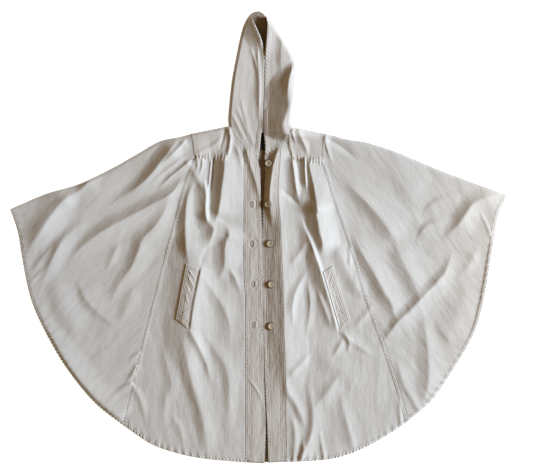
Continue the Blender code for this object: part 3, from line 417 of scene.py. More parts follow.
def wandering(walked, phase, swings):  # how far off its beat a row of puckers is, and how strong
    (broad, broadReach), (fine, fineReach), middle, (swing, swingReach) = swings
    uneven = broad * np.sin(walked / broadReach + phase) + fine * np.sin(walked / fineReach + 2 * phase)
    return uneven, middle + swing * np.sin(walked / swingReach + 3 * phase)


def puckerHeight(points, line, look, phase=0.0):
    across, walked = along(points, line)
    uneven, strength = wandering(walked, phase, wander["cloth"])
    wave = np.cos(2 * math.pi * (walked + look["lean"] * np.abs(across)) / look["pitch"] + uneven)
    return look["height"] * strength * wave * smoothStep(1 - np.abs(across) / look["reach"])


def seamWaves(points):
    height = 0.0
    waved = (("side", ["side"], 1.0), ("band", ["band", "edge"], 3.0), ("neck", ["neck"], 5.0))
    for kind, lines, phase in waved:
        for index, name in enumerate(line + hand for line in lines for hand in hands):
            height = height + puckerHeight(points, dense(seam[name], 4), puckers[kind], phase + index)
    return height


def bandGrooves(points):
    groove = 0.0
    for hand in hands:
        fromSeam = along(points, dense(seam["band" + hand], 4))[0]
        fromEdge, walked = along(points, dense(seam["edge" + hand], 4))
        between = fromSeam * fromEdge < 0
        for gap, rows in ((fromSeam, bandRows["fromSeam"]), (fromEdge, bandRows["fromEdge"])):
            for row in rows:
                aside = bandRows["wander"] * np.sin(walked / bandRows["wanderReach"] + row)
                off = (np.abs(gap) - row - aside) / bandRows["width"]
                ticks = 1 + bandRows["ticks"] * np.cos(2 * math.pi * walked / bandRows["pitch"] + row)
                groove = groove + between * ticks * np.exp(-(off ** 2))
    for x, y in buttonholes:
        away = np.hypot((points[..., 0] - x) / holeRing["acrossReach"],
                        (points[..., 1] - y) / holeRing["alongReach"])
        ring = np.exp(-((away - 1) / holeRing["width"]) ** 2)
        groove = groove + ring * holeRing["depth"] / bandRows["depth"]
    return -bandRows["depth"] * groove


def faded(points, lines, share, reach):  # this share of the height at the lines, all of it a reach away
    return share + (1 - share) * smoothStep(nearAny(points, lines) / reach)


def relief(points):  # height of the front layer's inner face
    hood = smoothStep((points[..., 1] - stand["hoodFoot"]) / stand["hoodRise"])
    height = stand["loft"] + stand["hoodLoft"] * hood
    for fold in folds:
        height = height + foldHeight(fold, points)
    for hand in hands:
        height = height + tuckHeight(points, seam["yoke" + hand])
    height = np.maximum(height + seamWaves(points) + bandGrooves(points), stand["lowest"])
    hem = faded(points, hemLines, stand["hemShare"], stand["hemFade"])
    edge = faded(points, foldLines, stand["foldShare"], stand["foldFade"])
    height = height * hem * edge
    for index, line in enumerate(hemLines):
        height = height + puckerHeight(points, line, puckers["hem"], 7.0 + index)
    return cloth["wall"] + cloth["layerGap"] + np.maximum(height, stand["thinnest"])


def patch(top, bottom, left, right, rows):  # a grid of points between four lines
    across = even(len(top) - 1)[None, :, None]
    down = np.asarray(rows)[:, None, None]
    corners = ((1 - across) * (1 - down) * top[0] + across * (1 - down) * top[-1]
               + (1 - across) * down * bottom[0] + across * down * bottom[-1])
    return ((1 - down) * top[None] + down * bottom[None] + (1 - across) * left[:, None]
            + across * right[:, None] - corners)


def inset(grid, top=True, bottom=True, left=True, right=True):  # half a seam's gap on the chosen sides
    moved = grid.copy()
    for chosen, edge, inner in (
        (top, np.s_[0], np.s_[1]), (bottom, np.s_[-1], np.s_[-2]),
        (left, np.s_[:, 0], np.s_[:, 1]), (right, np.s_[:, -1], np.s_[:, -2]),
    ):
        if chosen:
            normal = courses(grid[edge])[1]
            side = np.sign(np.sum(normal * (grid[inner] - grid[edge]), axis=1))[:, None]
            moved[edge] += normal * side * cloth["seamGap"] / 2
    return moved


def raised(grid, height):  # adds a height to every x, y
    return np.concatenate([grid, np.broadcast_to(height, grid.shape[:-1])[..., None]], axis=-1)


class Socket:  # a node's output that Python's own arithmetic works on
    def __init__(self, maker, socket):
        self.maker = maker
        self.socket = socket

    def maths(self, operation, first, second):
        return self.maker.node("ShaderNodeMath", {"operation": operation}, [first, second])

    def __add__(self, other):
        return self.maths("ADD", self, other)

    def __mul__(self, other):
        return self.maths("MULTIPLY", self, other)

    __radd__ = __add__
    __rmul__ = __mul__


class Material:
    def __init__(self, name):
        self.made = bpy.data.materials.new(name)
        self.made.use_nodes = True
        self.tree = self.made.node_tree
        self.shader = self.tree.nodes["Principled BSDF"]

    def node(self, kind, settings, values, output=0):  # settings first, then the sockets' values or links
        made = self.tree.nodes.new(kind)
        for key, value in settings.items():
            setattr(made, key, value)
        for index, value in (values.items() if isinstance(values, dict) else enumerate(values)):
            self.fill(made.inputs[index], value)
        return Socket(self, made.outputs[output])

    def fill(self, socket, value):
        if isinstance(value, Socket):
            self.tree.links.new(value.socket, socket)
        elif value is not None:
            socket.default_value = value

    def feed(self, **values):
        for name, value in values.items():
            self.fill(self.shader.inputs[name.replace("_", " ")], value)
        return self.made

    def mix(self, share, first, second, blend="MIX"):
        return self.node("ShaderNodeMix", {"data_type": "RGBA", "blend_type": blend},
                         {0: share, 6: first, 7: second}, 2)

    def noise(self, place, scale, detail=2.0):
        return self.node("ShaderNodeTexNoise", {}, {"Vector": place, "Scale": scale, "Detail": detail})

    def scaled(self, place, size):
        return self.node("ShaderNodeVectorMath", {"operation": "MULTIPLY"}, [place, size])

    def bump(self, strength, distance, height, below=None):
        return self.node("ShaderNodeBump", {}, {"Strength": strength, "Distance": distance, "Height": height,
                                                "Normal": below})

    def place(self):  # a point of the object in its own metres
        return self.node("ShaderNodeTexCoord", {}, [], 3)

    def ramp(self, edges):  # 0 at the first x, 1 at the second
        across = self.node("ShaderNodeSeparateXYZ", {}, [self.place()])
        return self.node("ShaderNodeMapRange", {"interpolation_type": "SMOOTHSTEP"},
                         [across, *edges, 0.0, 1.0])


def cottonMaterial(name, look):
    mat = Material(name)
    grain = mat.node("ShaderNodeUVMap", {"uv_map": "grain"}, [])
    patchy = mat.noise(grain, 9.0)
    slub = mat.noise(mat.scaled(grain, (900.0, 35.0, 1.0)), 1.0, 1.0)
    weft = mat.noise(mat.scaled(grain, (60.0, 1100.0, 1.0)), 1.0, 1.0)
    streak = mat.noise(mat.scaled(grain, (70.0, 7.0, 1.0)), 1.0, 2.0)
    crumple = mat.noise(mat.scaled(grain, (30.0, 12.0, 1.0)), 1.0, 3.0)
    colour = mat.mix(0.55 * patchy + 0.25 * slub + 0.2 * streak, look["low"], look["high"])
    # painted light: the colour is multiplied paler towards the cape's two ends, as if more light fell there
    for edges, tint in look["paintedLightTints"]:
        colour = mat.mix(mat.ramp(edges), colour, tint, "MULTIPLY")
    rumple = mat.bump(look["crumple"], 0.006, crumple)
    fine = mat.bump(look["weave"], 0.0004, slub * 0.5 + weft * 0.3, rumple)
    broad = mat.bump(look["streaks"], 0.0025, streak, fine)
    return mat.feed(Base_Color=colour, Roughness=look["roughness"], Normal=broad, Sheen_Weight=look["sheen"],
                    Specular_IOR_Level=0.25)


cottonLook = dict(  # paintedLightTints: from and to which x, and the colour there; painted light, the cape's left end paler and bluer and its right end paler and warmer
    low=(0.50, 0.477, 0.422, 1), high=(0.665, 0.644, 0.583, 1), weave=0.5, streaks=0.13, crumple=0.56,
    roughness=0.95, sheen=0.05,
    paintedLightTints=(((-0.28, -0.64), (1.05, 1.08, 1.12, 1)), ((0.4, 0.64), (1.07, 1.04, 1.0, 1))),
)
# painted shade: a darker, browner look for the front bands
bandShadeLook = dict(cottonLook, low=(0.46, 0.421, 0.358, 1), high=(0.615, 0.573, 0.501, 1), crumple=0.9)
warmLook = dict(cottonLook, low=(0.485, 0.452, 0.393, 1), high=(0.65, 0.615, 0.548, 1))
# painted shade: a dark brown look for the cloth's inner faces, standing for the shade inside the hood and the
# front opening
insideShadeLook = dict(
    low=(0.26, 0.205, 0.148, 1), high=(0.38, 0.31, 0.23, 1), weave=0.5, streaks=0.3, crumple=0.6,
    roughness=0.98, sheen=0.0, paintedLightTints=(),
)
cotton = cottonMaterial("naturalCotton", cottonLook)
bandPaintedShadeCotton = cottonMaterial("bandCottonPaintedShade", bandShadeLook)  # painted shade: the two front bands are coloured darker and browner, as the shade they lie in
warmCotton = cottonMaterial("creamCotton", warmLook)  # hood, yokes and welts are creamier
paintedInsideShade = cottonMaterial("paintedInsideShade", insideShadeLook)  # painted shade: the cloth's inner side, seen only in the openings, coloured dark brown as the shade in there


def ridingPiece(name, mesh):
    mesh.polygons.foreach_set("use_smooth", np.ones(len(mesh.polygons), bool))
    piece = bpy.data.objects.new(name, mesh)
    bpy.context.scene.collection.objects.link(piece)
    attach(piece, "root")
    return piece


def clothPiece(name, inner, outer, grainAngle, node=None, look=cotton, inside=None):
    rows, columns = inner.shape[:2]
    count = rows * columns
    index = np.arange(count).reshape(rows, columns)
    quads = np.stack([index[:-1, :-1], index[:-1, 1:], index[1:, 1:], index[1:, :-1]], axis=-1).reshape(-1, 4)
    rim = np.concatenate([index[0, :], index[1:, -1], index[-1, :-1][::-1], index[1:-1, 0][::-1]])
    follow = np.roll(rim, -1)
    sides = np.stack([rim, follow, follow + count, rim + count], axis=1)
    faces = np.concatenate([quads, quads[:, ::-1] + count, sides[:, ::-1]])
    points = np.concatenate([inner.reshape(-1, 3), outer.reshape(-1, 3)]) * mm
    a, b, c, d = (points[faces[:, i]] for i in range(4))
    if np.sum(a * np.cross(b, c)) + np.sum(a * np.cross(c, d)) < 0:
        faces = faces[:, ::-1]
    mesh = bpy.data.meshes.new(name)
    mesh.from_pydata(points.tolist(), [], faces.tolist())
    turn = math.radians(grainAngle)
    flat = np.stack([points[:, 0] * math.cos(turn) + points[:, 1] * math.sin(turn),
                     points[:, 1] * math.cos(turn) - points[:, 0] * math.sin(turn)], axis=1)
    corners = np.empty(len(mesh.loops), np.int32)
    mesh.loops.foreach_get("vertex_index", corners)
    layer = mesh.uv_layers.new(name="grain")
    layer.data.foreach_set("uv", flat[corners].ravel().astype(np.float32))
    mesh.materials.append(look)
    # inside: the material of the inner faces; where given, it is the painted inside shade
    if inside:
        mesh.materials.append(inside)
        mesh.polygons.foreach_set("material_index", (np.arange(len(faces)) < len(quads)).astype(np.int32))
    piece = ridingPiece(name, mesh)
    if node:
        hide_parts(node)
    return piece


def frontPiece(name, node, grid, wall, look=cotton):
    grid = inset(grid)
    floor = relief(grid)
    return clothPiece(name, raised(grid, floor), raised(grid, floor + wall), 0, node, look)


# the doubled edge: how long a stretch of each row is pressed together, how much of a narrow piece it may
# take, and the least share of its inner face
doubled = dict(stretch=12.0, widest=0.35, thinnest=0.15)


def drawnIn(row, reach):  # presses the last stretch of a row together, to end this far from the outline
    walked = ways(row)
    left = walked[-1] - walked
    stretch = min(max(doubled["stretch"], 2 * reach), left[0])
    left = np.where(left < stretch, reach + left * (1 - reach / stretch), left)
    return np.stack([np.interp(walked[-1] - left, walked, row[:, axis]) for axis in (0, 1)], axis=1)


# a tube of cloth: up the front, round the outline and down the back
def foldedPiece(name, node, front, back, wall, grainAngle, look=cotton, inside=None):
    front = inset(front, right=False)
    back = inset(back, left=False)
    edge = front[:, -1]
    width = np.linalg.norm(edge - front[:, 0], axis=1)
    reach = np.minimum((relief(edge) + wall) / 2, doubled["widest"] * width)
    front = np.array([drawnIn(row, span) for row, span in zip(front, reach)])
    back = np.array([drawnIn(row[::-1], span)[::-1] for row, span in zip(back, reach)])
    floor = relief(front)
    rise = (floor[:, -1] + wall) / 2
    inner = [raised(front, floor)]
    outer = [raised(front, floor + wall)]
    for angle in np.linspace(math.pi / 2, -math.pi / 2, cells["arc"] + 1)[1:-1]:
        upper = (1 + math.sin(angle)) / 2
        base = front[:, -1] * upper + back[:, 0] * (1 - upper)
        for faces, less in ((inner, wall), (outer, 0.0)):
            share = np.maximum(1 - less / reach, doubled["thinnest"])[:, None] * math.cos(angle)
            section = raised(base + (edge - base) * share, rise + (rise - less) * math.sin(angle))
            faces.append(section[:, None])
    inner.append(raised(back, wall))
    outer.append(raised(back, 0.0))
    return clothPiece(name, np.concatenate(inner, axis=1), np.concatenate(outer, axis=1), grainAngle, node,
                      look, inside)


bodyShares, bandShares = (np.append(even(rows - 1) ** cells["rowCrowding"] * cells["lastRow"], 1.0)
                          for rows in (cells["bodyRows"], cells["bandRows"]))
wingGrain = dict(Left=-45, Right=35)  # how the weave lies in the side panels, in degrees


def wing(hand):
    yoke, side, hem = seam["yoke" + hand], seam["side" + hand], outline["hemWing" + hand]
    backCorner = seam["backYoke" + hand][0]
    fold = smoothLine(outline["shoulder" + hand], bodyShares)
    front = patch(straight([cells["wing"]], yoke[1], yoke[0]), smoothLine(hem, even(cells["wing"])),
                  smoothLine(side, bodyShares), fold, bodyShares)
    backSeam = smoothLine(np.vstack([backCorner, side[1:]]), bodyShares)
    back = patch(straight([cells["wingBack"]], yoke[0], backCorner),
                 smoothLine(hem, even(cells["wingBack"]))[::-1], fold, backSeam, bodyShares)
    return foldedPiece("sidePanel" + hand, "wing_" + hand.lower(), front, back, cloth["wall"],
                       wingGrain[hand])


def frontBody(hand):
    yoke, neck = seam["yoke" + hand], seam["neck" + hand]
    top = straight([cells["yoke"], cells["yokeSide"], cells["frontNeck"], cells["frontNeck"]], *yoke[1:4],
                   *neck[1:3])
    grid = patch(top, smoothLine(outline["hemFront" + hand], even(len(top) - 1)),
                 smoothLine(seam["side" + hand], bodyShares), smoothLine(seam["band" + hand], bodyShares),
                 bodyShares)
    return frontPiece("front" + hand, "front_" + hand.lower(), grid, cloth["wall"])


def placket(hand):
    neck, band, edge = (seam[name + hand] for name in ("neck", "band", "edge"))
    grid = patch(straight([cells["band"]], *neck[2:4]), straight([cells["band"]], band[-1], edge[-1]),
                 smoothLine(band, bandShares), smoothLine(edge, bandShares), bandShares)
    # the bands take the painted shade look
    return frontPiece("placket" + hand, "placket_" + hand.lower(), grid, cloth["bandWall"], bandPaintedShadeCotton)


def yokePiece(hand):
    yoke, backYoke = seam["yoke" + hand], seam["backYoke" + hand]
    rows, columns, backRows = cells["yokeRows"] + cells["yokeNeck"], cells["yoke"], cells["yokeBack"]
    fold = straight([columns], yoke[0], yoke[4])
    inner = straight([cells["yokeRows"], cells["yokeNeck"]], *yoke[2:5])
    face = patch(straight([rows], yoke[1], yoke[0]), inner, straight([columns], *yoke[1:3]), fold,
                 even(columns))
    back = patch(straight([backRows], yoke[0], backYoke[0]), straight([backRows], yoke[4], backYoke[1]), fold,
                 straight([columns], *backYoke), even(columns))
    return foldedPiece("yoke" + hand, "yoke_" + hand.lower(), face, back, cloth["yokeWall"], 0, warmCotton)


def hoodPiece(hand):
    neck, yoke, backYoke = (seam[name + hand] for name in ("neck", "yoke", "backYoke"))
    edge, side, backNeck = seam["hoodEdge" + hand], outline["hood" + hand], seam["backNeck"][0]
    tip = outline["hoodTop"][0]
    rows = even(cells["hoodRows"])
    fold = smoothLine(side, rows)
    foot = straight([cells["hoodBand"]] + [cells["hoodNeck"]] * 3, *neck[::-1], yoke[4])
    face = patch(foot, straight([len(foot) - 1], edge[-1], side[-1]), smoothLine(edge, rows), fold, rows)
    back = patch(straight([cells["hoodShoulder"], cells["hoodBack"]], yoke[4], backYoke[1], backNeck),
                 straight([cells["hoodTop"]] * 2, side[-1], (side[-1] + tip) / 2 + (0, 3), tip), fold,
                 straight([cells["hoodRows"]], backNeck, tip), rows)
    # the hood's inner faces take the painted inside shade
    return foldedPiece("hood" + hand, "hood_" + hand.lower(), face, back, cloth["wall"], 0, warmCotton,
                       paintedInsideShade)


def backPiece():
    left, right = (smoothLine(np.vstack([seam["backYoke" + hand][0], seam["side" + hand][1:]]), bodyShares)
                   for hand in hands)
    top = straight([cells["back"]] * 4, *seam["backYokeLeft"], *seam["backNeck"],
                   *seam["backYokeRight"][::-1])
    hem = np.vstack([outline["hemFrontLeft"], outline["hemFrontRight"][::-1]])
    grid = inset(patch(top, smoothLine(hem, even(len(top) - 1)), left, right, bodyShares))
    # the back's inner face takes the painted inside shade
    return clothPiece("backPanel", raised(grid, cloth["wall"]), raised(grid, 0.0), 0, "back_center", cotton,
                      paintedInsideShade)


tape = dict(
    width=9.0, height=0.7, fromTop=13.0, fromFoot=8.0, rows=90, columns=8, ripple=0.12, beat=1.6, slant=0.5,
)


def hoodTape():  # the flat seam inside the hood, over the meeting line of its two back halves
    foot, top = seam["backNeck"][0], outline["hoodTop"][0]
    top, foot = top + (0, -tape["fromTop"]), foot + (0, tape["fromFoot"])
    half = np.array((tape["width"] / 2, 0))
    sides = [straight([tape["rows"]], top + shift, foot + shift) for shift in (-half, half)]
    ends = [np.linspace(sides[0][end], sides[1][end], tape["columns"] + 1) for end in (0, -1)]
    grid = patch(*ends, *sides, even(tape["rows"]))
    ripple = tape["ripple"] * np.cos(grid[..., 1] / tape["beat"] + grid[..., 0] * tape["slant"])
    low = cloth["wall"] + cloth["seamGap"] / 2
    high = low + tape["height"] + ripple
    # the tape is coloured with the painted inside shade
    piece = clothPiece("hoodSeamTape", raised(grid, low), raised(grid, high), 0, None, paintedInsideShade)


def feeler(*made):
    points = []
    faces = []
    for piece in made:
        faces += [tuple(corner + len(points) for corner in face.vertices) for face in piece.data.polygons]
        points += [vert.co / mm for vert in piece.data.vertices]
    return BVHTree.FromPolygons(points, faces)


feelers = dict(start=200, beside=6)  # heights to look down from, and to look round from off the cloth


def heightAt(tree, x, y):  # top of the cloth under a place, or of the nearest cloth beside it
    hit = tree.ray_cast(Vector((x, y, feelers["start"])), Vector((0, 0, -1)))[0]
    if hit is None:
        hit = tree.find_nearest(Vector((x, y, feelers["beside"])))[0]
    return hit.z


def circle(count, radius, turn=0.0):
    turns = np.arange(count) * 2 * math.pi / count + turn
    return [(math.cos(turn) * radius, math.sin(turn) * radius) for turn in turns]


def heightUnder(tree, place, reach):
    return max(heightAt(tree, place[0] + dx, place[1] + dy) for dx, dy in [(0, 0)] + circle(8, reach))


# pocket welts: rows of stitches beside their edges and across their ends, and creases pulled over them
weltLook = dict(
    columns=34, rows=110, depth=0.8, width=1.15, edgeDrop=0.9, edgeWidth=1.4, sunkEdge=1.4, sunkWidth=7.0,
    feel=2.0, deepest=-1.7, stitchEnds=6.0, sewnEnds=2,
)
weltRows = dict(
    Left=dict(leftSide=(5.0, 9.5, 14.0), rightSide=(2.0,), ends=(3.0, 8.0, 13.0)),
    Right=dict(leftSide=(3.0,), rightSide=(3.0, 8.0, 13.0, 17.5), ends=(3.0, 7.5, 12.0)),
)
weltCreases = dict(  # height, half width, start and end
    Left=((1.7, 4.0, (-191, -84), (-168, -116)), (1.8, 4.2, (-192, -100), (-172, -140)),
          (-1.5, 5.0, (-194, -118), (-178, -152)), (1.5, 4.0, (-207, -206), (-182, -192)),
          (1.5, 4.0, (-214, -217), (-186, -204)), (1.3, 3.6, (-213, -226), (-188, -213)),
          (1.2, 6.0, (-198, -148), (-190, -180))),
    Right=((-1.7, 4.5, (195, -96), (185, -126)), (1.2, 5.0, (198, -134), (214, -128)),
           (1.2, 6.0, (204, -168), (215, -198)), (-1.0, 4.0, (213, -227), (228, -219)),
           (1.0, 5.0, (196, -148), (206, -162)), (-1.0, 4.0, (214, -200), (226, -206))),
)


def weltPiece(hand):
    upperLeft, upperRight, lowerRight, lowerLeft = welts[hand]
    columns, rows = weltLook["columns"], weltLook["rows"]
    lines = dict(
        leftSide=straight([rows], upperLeft, lowerLeft), rightSide=straight([rows], upperRight, lowerRight),
        top=straight([columns], upperLeft, upperRight), foot=straight([columns], lowerLeft, lowerRight),
    )
    grid = patch(lines["top"], lines["foot"], lines["leftSide"], lines["rightSide"], even(rows))
    tree = feeler(pieces["front" + hand])
    coarse = np.array([[heightUnder(tree, place, weltLook["feel"]) for place in row]
                       for row in grid[::2, ::2]])
    floor = np.array([np.interp(even(columns), even(columns // 2), row) for row in coarse])
    floor = np.array([np.interp(even(rows), even(rows // 2), column) for column in floor.T]).T
    floor = floor + cloth["topGap"]
    gaps = {key: np.abs(along(grid, line)[0]) for key, line in lines.items()}
    height = 0.0
    for key, gap in gaps.items():
        for row in weltRows[hand]["ends" if key in ("top", "foot") else key]:
            height = height - weltLook["depth"] * np.exp(-((gap - row) / weltLook["width"]) ** 2)
    for tall, reach, start, end in weltCreases[hand]:
        height = height + foldHeight(Fold(tall, reach, reach, 0.8, 0.25, 0.25, path(start, end)), grid)
    edge = np.min(list(gaps.values()), axis=0)
    height = height - weltLook["edgeDrop"] * np.exp(-(edge / weltLook["edgeWidth"]) ** 2)
    if hand == "Right":
        height = height - weltLook["sunkEdge"] * np.exp(-(gaps["leftSide"] / weltLook["sunkWidth"]) ** 2)
    face = floor + cloth["weltWall"] + np.maximum(height, weltLook["deepest"])
    return clothPiece("pocketWelt" + hand, raised(grid, floor), raised(grid, face), 0,
                      "pocket_welt_" + hand.lower(), warmCotton)


# bands of cloth sewn along a line: how far each reaches to both sides of it, height of the crown, spacing,
# height, lean and unevenness of the puckers, rows of stitches, how deep the edge turns down and is notched
bands = dict(
    hem=dict(across=(-0.9, 10.5), height=0.4, pitch=9.5, wave=1.0, lean=0.8, uneven=1.0, rows=(8.6,),
             wrap=1.6, notch=1.1, material=cotton),
    side=dict(across=(-1.0, 7.8), height=0.1, pitch=10.0, wave=0.75, lean=0.9, uneven=1.7, rows=(2.2, 6.2),
              wrap=0, notch=0, material=cotton),
    hood=dict(across=(0.3, 12.5), height=0.35, pitch=10.0, wave=0.85, lean=0.8, uneven=1.5, rows=(3.0, 9.6),
              wrap=0, notch=0.5, material=warmCotton),
    neck=dict(across=(-1.0, 5.6), height=0.25, pitch=11.0, wave=0.12, lean=0.6, uneven=1.0, rows=(2.0, 4.4),
              wrap=0, notch=0, material=warmCotton),
    yoke=dict(across=(-1.8, 6.6), height=0.3, pitch=8.5, wave=0.8, lean=0.4, uneven=1.2, rows=(2.0, 5.4),
              wrap=0, notch=0.4, material=warmCotton),
)
bandCells = dict(
    along=1.7, columns=10, under=0.1, thin=0.12, rowDepth=0.3, rowWidth=0.75, notchReach=3.0, outerWrap=0.75,
    crownRise=0.15, crownStart=0.4, waveRise=0.2, waveStart=0.2, waveFade=0.6, waveLift=0.6, inside=0.5,
    leastFlat=10,
)


# slants: how much further in each end starts for every millimetre across
def sewnBand(name, kind, line, side, tree, phase, slants):
    look = bands[kind]
    columns = bandCells["columns"]
    length = lineLength(line)
    count = int(length / bandCells["along"])
    low, high = look["across"]
    across = np.broadcast_to(low + (high - low) * even(columns), (count + 1, columns + 1))
    starts = slants[0] * np.maximum(across[0], 0)
    walked = starts + (length - starts - slants[1] * np.maximum(across[0], 0)) * even(count)[:, None]
    spots = np.stack([smoothLine(line, column / length) for column in walked.T], axis=1)
    normal = courses(spots)[1] * side
    uneven, strength = wandering(walked, phase, wander["band"])
    wave = np.cos(2 * math.pi * (walked + look["lean"] * across) / look["pitch"] + look["uneven"] * uneven)
    wave = wave * strength
    share = (across - low) / (high - low)
    outside = np.clip(-across / max(-low, 0.01), 0, 1) if look["wrap"] else 0.0 * across
    notch = look["notch"] * wave * smoothStep(1 - across / bandCells["notchReach"])
    grid = spots + normal * (across - notch)[..., None]
    inward = spots + normal * np.maximum(across, bandCells["inside"])[..., None]
    base = np.array([[heightAt(tree, *place) for place in row] for row in inward]) + bandCells["under"]
    crown = look["height"] * (1 - share)
    crown = crown * smoothStep(share / bandCells["crownRise"] + bandCells["crownStart"])
    swell = look["wave"] * (bandCells["waveLift"] + wave)
    swell = swell * smoothStep(share / bandCells["waveRise"] + bandCells["waveStart"])
    height = crown + swell * smoothStep((1 - share) / bandCells["waveFade"])
    for row in look["rows"]:
        height = height - bandCells["rowDepth"] * np.exp(-((across - row) / bandCells["rowWidth"]) ** 2)
    height = np.maximum(height, 0.0) + bandCells["thin"]
    inner = raised(grid, base - look["wrap"] * outside)
    outer = raised(grid, base + height - look["wrap"] * bandCells["outerWrap"] * outside)
    piece = clothPiece(name, inner, outer, 0, None, look["material"])
    width = high - low
    max(width, bandCells["leastFlat"]) * mm
    width * length * mm**2
    return piece


# single stitches, one bead each
thread = dict(length=2.3, width=0.8, height=0.55, pitch=3.4, lift=0.16, sides=5, rings=3)


def threadMaterial():
    mat = Material("sewingThread")
    twist = mat.noise(mat.scaled(mat.place(), (2500.0, 2500.0, 900.0)), 1.0, 1.0)
    # the thread is darker than the cloth: partly its own tan, partly painted shade for the dark seam lines
    colour = mat.mix(twist, (0.36, 0.3, 0.235, 1), (0.52, 0.45, 0.37, 1))
    return mat.feed(Base_Color=colour, Roughness=0.7)


threadLook = threadMaterial()


def beadShape():
    bpy.ops.object.select_all(action="DESELECT")
    bpy.ops.mesh.primitive_uv_sphere_add(segments=thread["sides"], ring_count=thread["rings"], radius=0.5)
    bead = bpy.context.object
    verts = np.array([vert.co for vert in bead.data.vertices])
    faces = [tuple(face.vertices) for face in bead.data.polygons]
    bpy.data.objects.remove(bead, do_unlink=True)
    return verts, faces


def sewnStitches(name, spots):  # spots: start and end of each stitch, as x, y, z
    verts, faces = beadShape()
    points = []
    joined = []
    for start, end in spots:
        run = end - start
        length = np.linalg.norm(run)
        run = run / length
        beside = np.array((-run[1], run[0], 0)) / max(np.hypot(run[0], run[1]), 0.001)
        up = np.cross(run, beside)
        joined += [tuple(corner + len(points) for corner in face) for face in faces]
        points += list((start + end) / 2 + verts[:, :1] * length * run
                       + verts[:, 1:2] * thread["width"] * beside + verts[:, 2:] * thread["height"] * up)
    mesh = bpy.data.meshes.new(name)
    mesh.from_pydata((np.array(points) * mm).tolist(), [], joined)
    mesh.materials.append(threadLook)
    ridingPiece(name, mesh)


def rowOfStitches(tree, line, offset, ends=4.0):
    length = lineLength(line)
    count = int((length - 2 * ends) / thread["pitch"])
    shares = (ends + np.arange(2 * count) * thread["pitch"] / 2) / length
    spots = smoothLine(line, shares)
    run, normal = courses(spots)
    spots = spots + normal * offset
    ahead = run[::2] * thread["length"] / 2
    pairs = [(spot - half, spot + half) for spot, half in zip(spots[::2], ahead)]
    return [[np.array((*place, heightAt(tree, *place) + thread["lift"])) for place in pair] for pair in pairs]


def sewnRows(name, tree, rows):  # rows: the line, how far to its left and how far from its ends they run
    sewnStitches(name, sum((rowOfStitches(tree, *row) for row in rows), []))


# buttons: a dark edge painted as the shade round the button, a cream ring and a golden hollow with four
# holes;
# the steps of the face are how far in and how far up, from the edge inward
buttonLook = dict(
    radius=10.6, thick=1.0, ring=8.5, hollow=5.4, corners=40, edgeRound=0.16,
    holes=4, hole=0.75, holeReach=1.7,
    steps=((1.6, 0.5), (0.5, 0.9), (0.7, 0.3), (1.7, 0.0), (0.5, -0.35), (0.9, -0.375), (1.1, -0.2)),
    bed=1.8, lean=0.55, leanReach=8.0, gap=0.2,
)


def hornMaterial(name, low, high, roughness):
    mat = Material(name)
    place = mat.place()
    cloud = mat.noise(place, 260.0, 3.0)
    band = mat.noise(mat.scaled(place, (300.0, 1400.0, 300.0)), 1.0, 2.0)
    colour = mat.mix(0.6 * cloud + 0.4 * band, low, high)
    return mat.feed(Base_Color=colour, Roughness=roughness + 0.1 * cloud,
                    Normal=mat.bump(0.15, 0.0002, cloud))


buttonColours = [
    # painted shade: the near-black edge stands for the shadow round the button's rim
    hornMaterial("buttonEdgePaintedShade", (0.06, 0.043, 0.027, 1), (0.12, 0.09, 0.06, 1), 0.6),
    hornMaterial("buttonCreamRing", (0.46, 0.38, 0.26, 1), (0.68, 0.6, 0.45, 1), 0.35),
    hornMaterial("buttonGoldHollow", (0.5, 0.42, 0.27, 1), (0.72, 0.64, 0.47, 1), 0.35),
]


def faceSteps(mesh, height):  # insets the faces at this height and moves them, step by step
    bpy.ops.object.mode_set(mode="EDIT")
    bpy.ops.mesh.select_mode(type="FACE")
    bpy.ops.mesh.select_all(action="DESELECT")
    bpy.ops.object.mode_set(mode="OBJECT")
    for face in mesh.polygons:
        face.select = face.center.z > height * mm - 1e-6 and face.normal.z > 0.9
    bpy.ops.object.mode_set(mode="EDIT")
    for inward, rise in buttonLook["steps"]:
        bpy.ops.mesh.inset(thickness=inward * mm, depth=0)
        bpy.ops.transform.translate(value=(0, 0, rise * mm))
    bpy.ops.object.mode_set(mode="OBJECT")


def cylinder(corners, radius, depth, place):
    bpy.ops.object.select_all(action="DESELECT")
    bpy.ops.mesh.primitive_cylinder_add(vertices=corners, radius=radius * mm, depth=depth * mm,
                                        location=Vector(place) * mm)
    return bpy.context.object


def turnedButton():
    top = buttonLook["thick"]
    button = cylinder(buttonLook["corners"], buttonLook["radius"], top, (0, 0, top / 2))
    bpy.ops.object.transform_apply(location=True)
    faceSteps(button.data, top)
    for colour in buttonColours:
        button.data.materials.append(colour)
    for face in button.data.polygons:
        far = max(math.hypot(*(button.data.vertices[corner].co.xy / mm)) for corner in face.vertices)
        # faces beyond the cream ring take the painted shade of the edge
        face.material_index = (far < buttonLook["ring"] + 0.3) + (far < buttonLook["hollow"] - 0.2)
    soft = button.modifiers.new("soft", "BEVEL")
    soft.width = buttonLook["edgeRound"] * mm
    soft.segments = 2
    soft.limit_method = "ANGLE"
    bpy.ops.object.modifier_apply(modifier="soft")
    for hole in circle(buttonLook["holes"], buttonLook["holeReach"], math.pi / buttonLook["holes"]):
        drill = cylinder(12, buttonLook["hole"], 10, (*hole, 0))
        cut = button.modifiers.new("cut", "BOOLEAN")
        cut.object = drill
        cut.solver = "EXACT"
        bpy.context.view_layer.objects.active = button
        bpy.ops.object.modifier_apply(modifier="cut")
        bpy.data.objects.remove(drill, do_unlink=True)
    bpy.ops.object.select_all(action="DESELECT")
    button.select_set(True)
    bpy.ops.object.shade_smooth_by_angle(angle=math.radians(35))
    return button


def leanAt(tree, x, y, reach):  # slope of the cloth, to the right and up the picture
    return np.array((heightAt(tree, x + reach, y) - heightAt(tree, x - reach, y),
                     heightAt(tree, x, y + reach) - heightAt(tree, x, y - reach))) / (2 * reach)


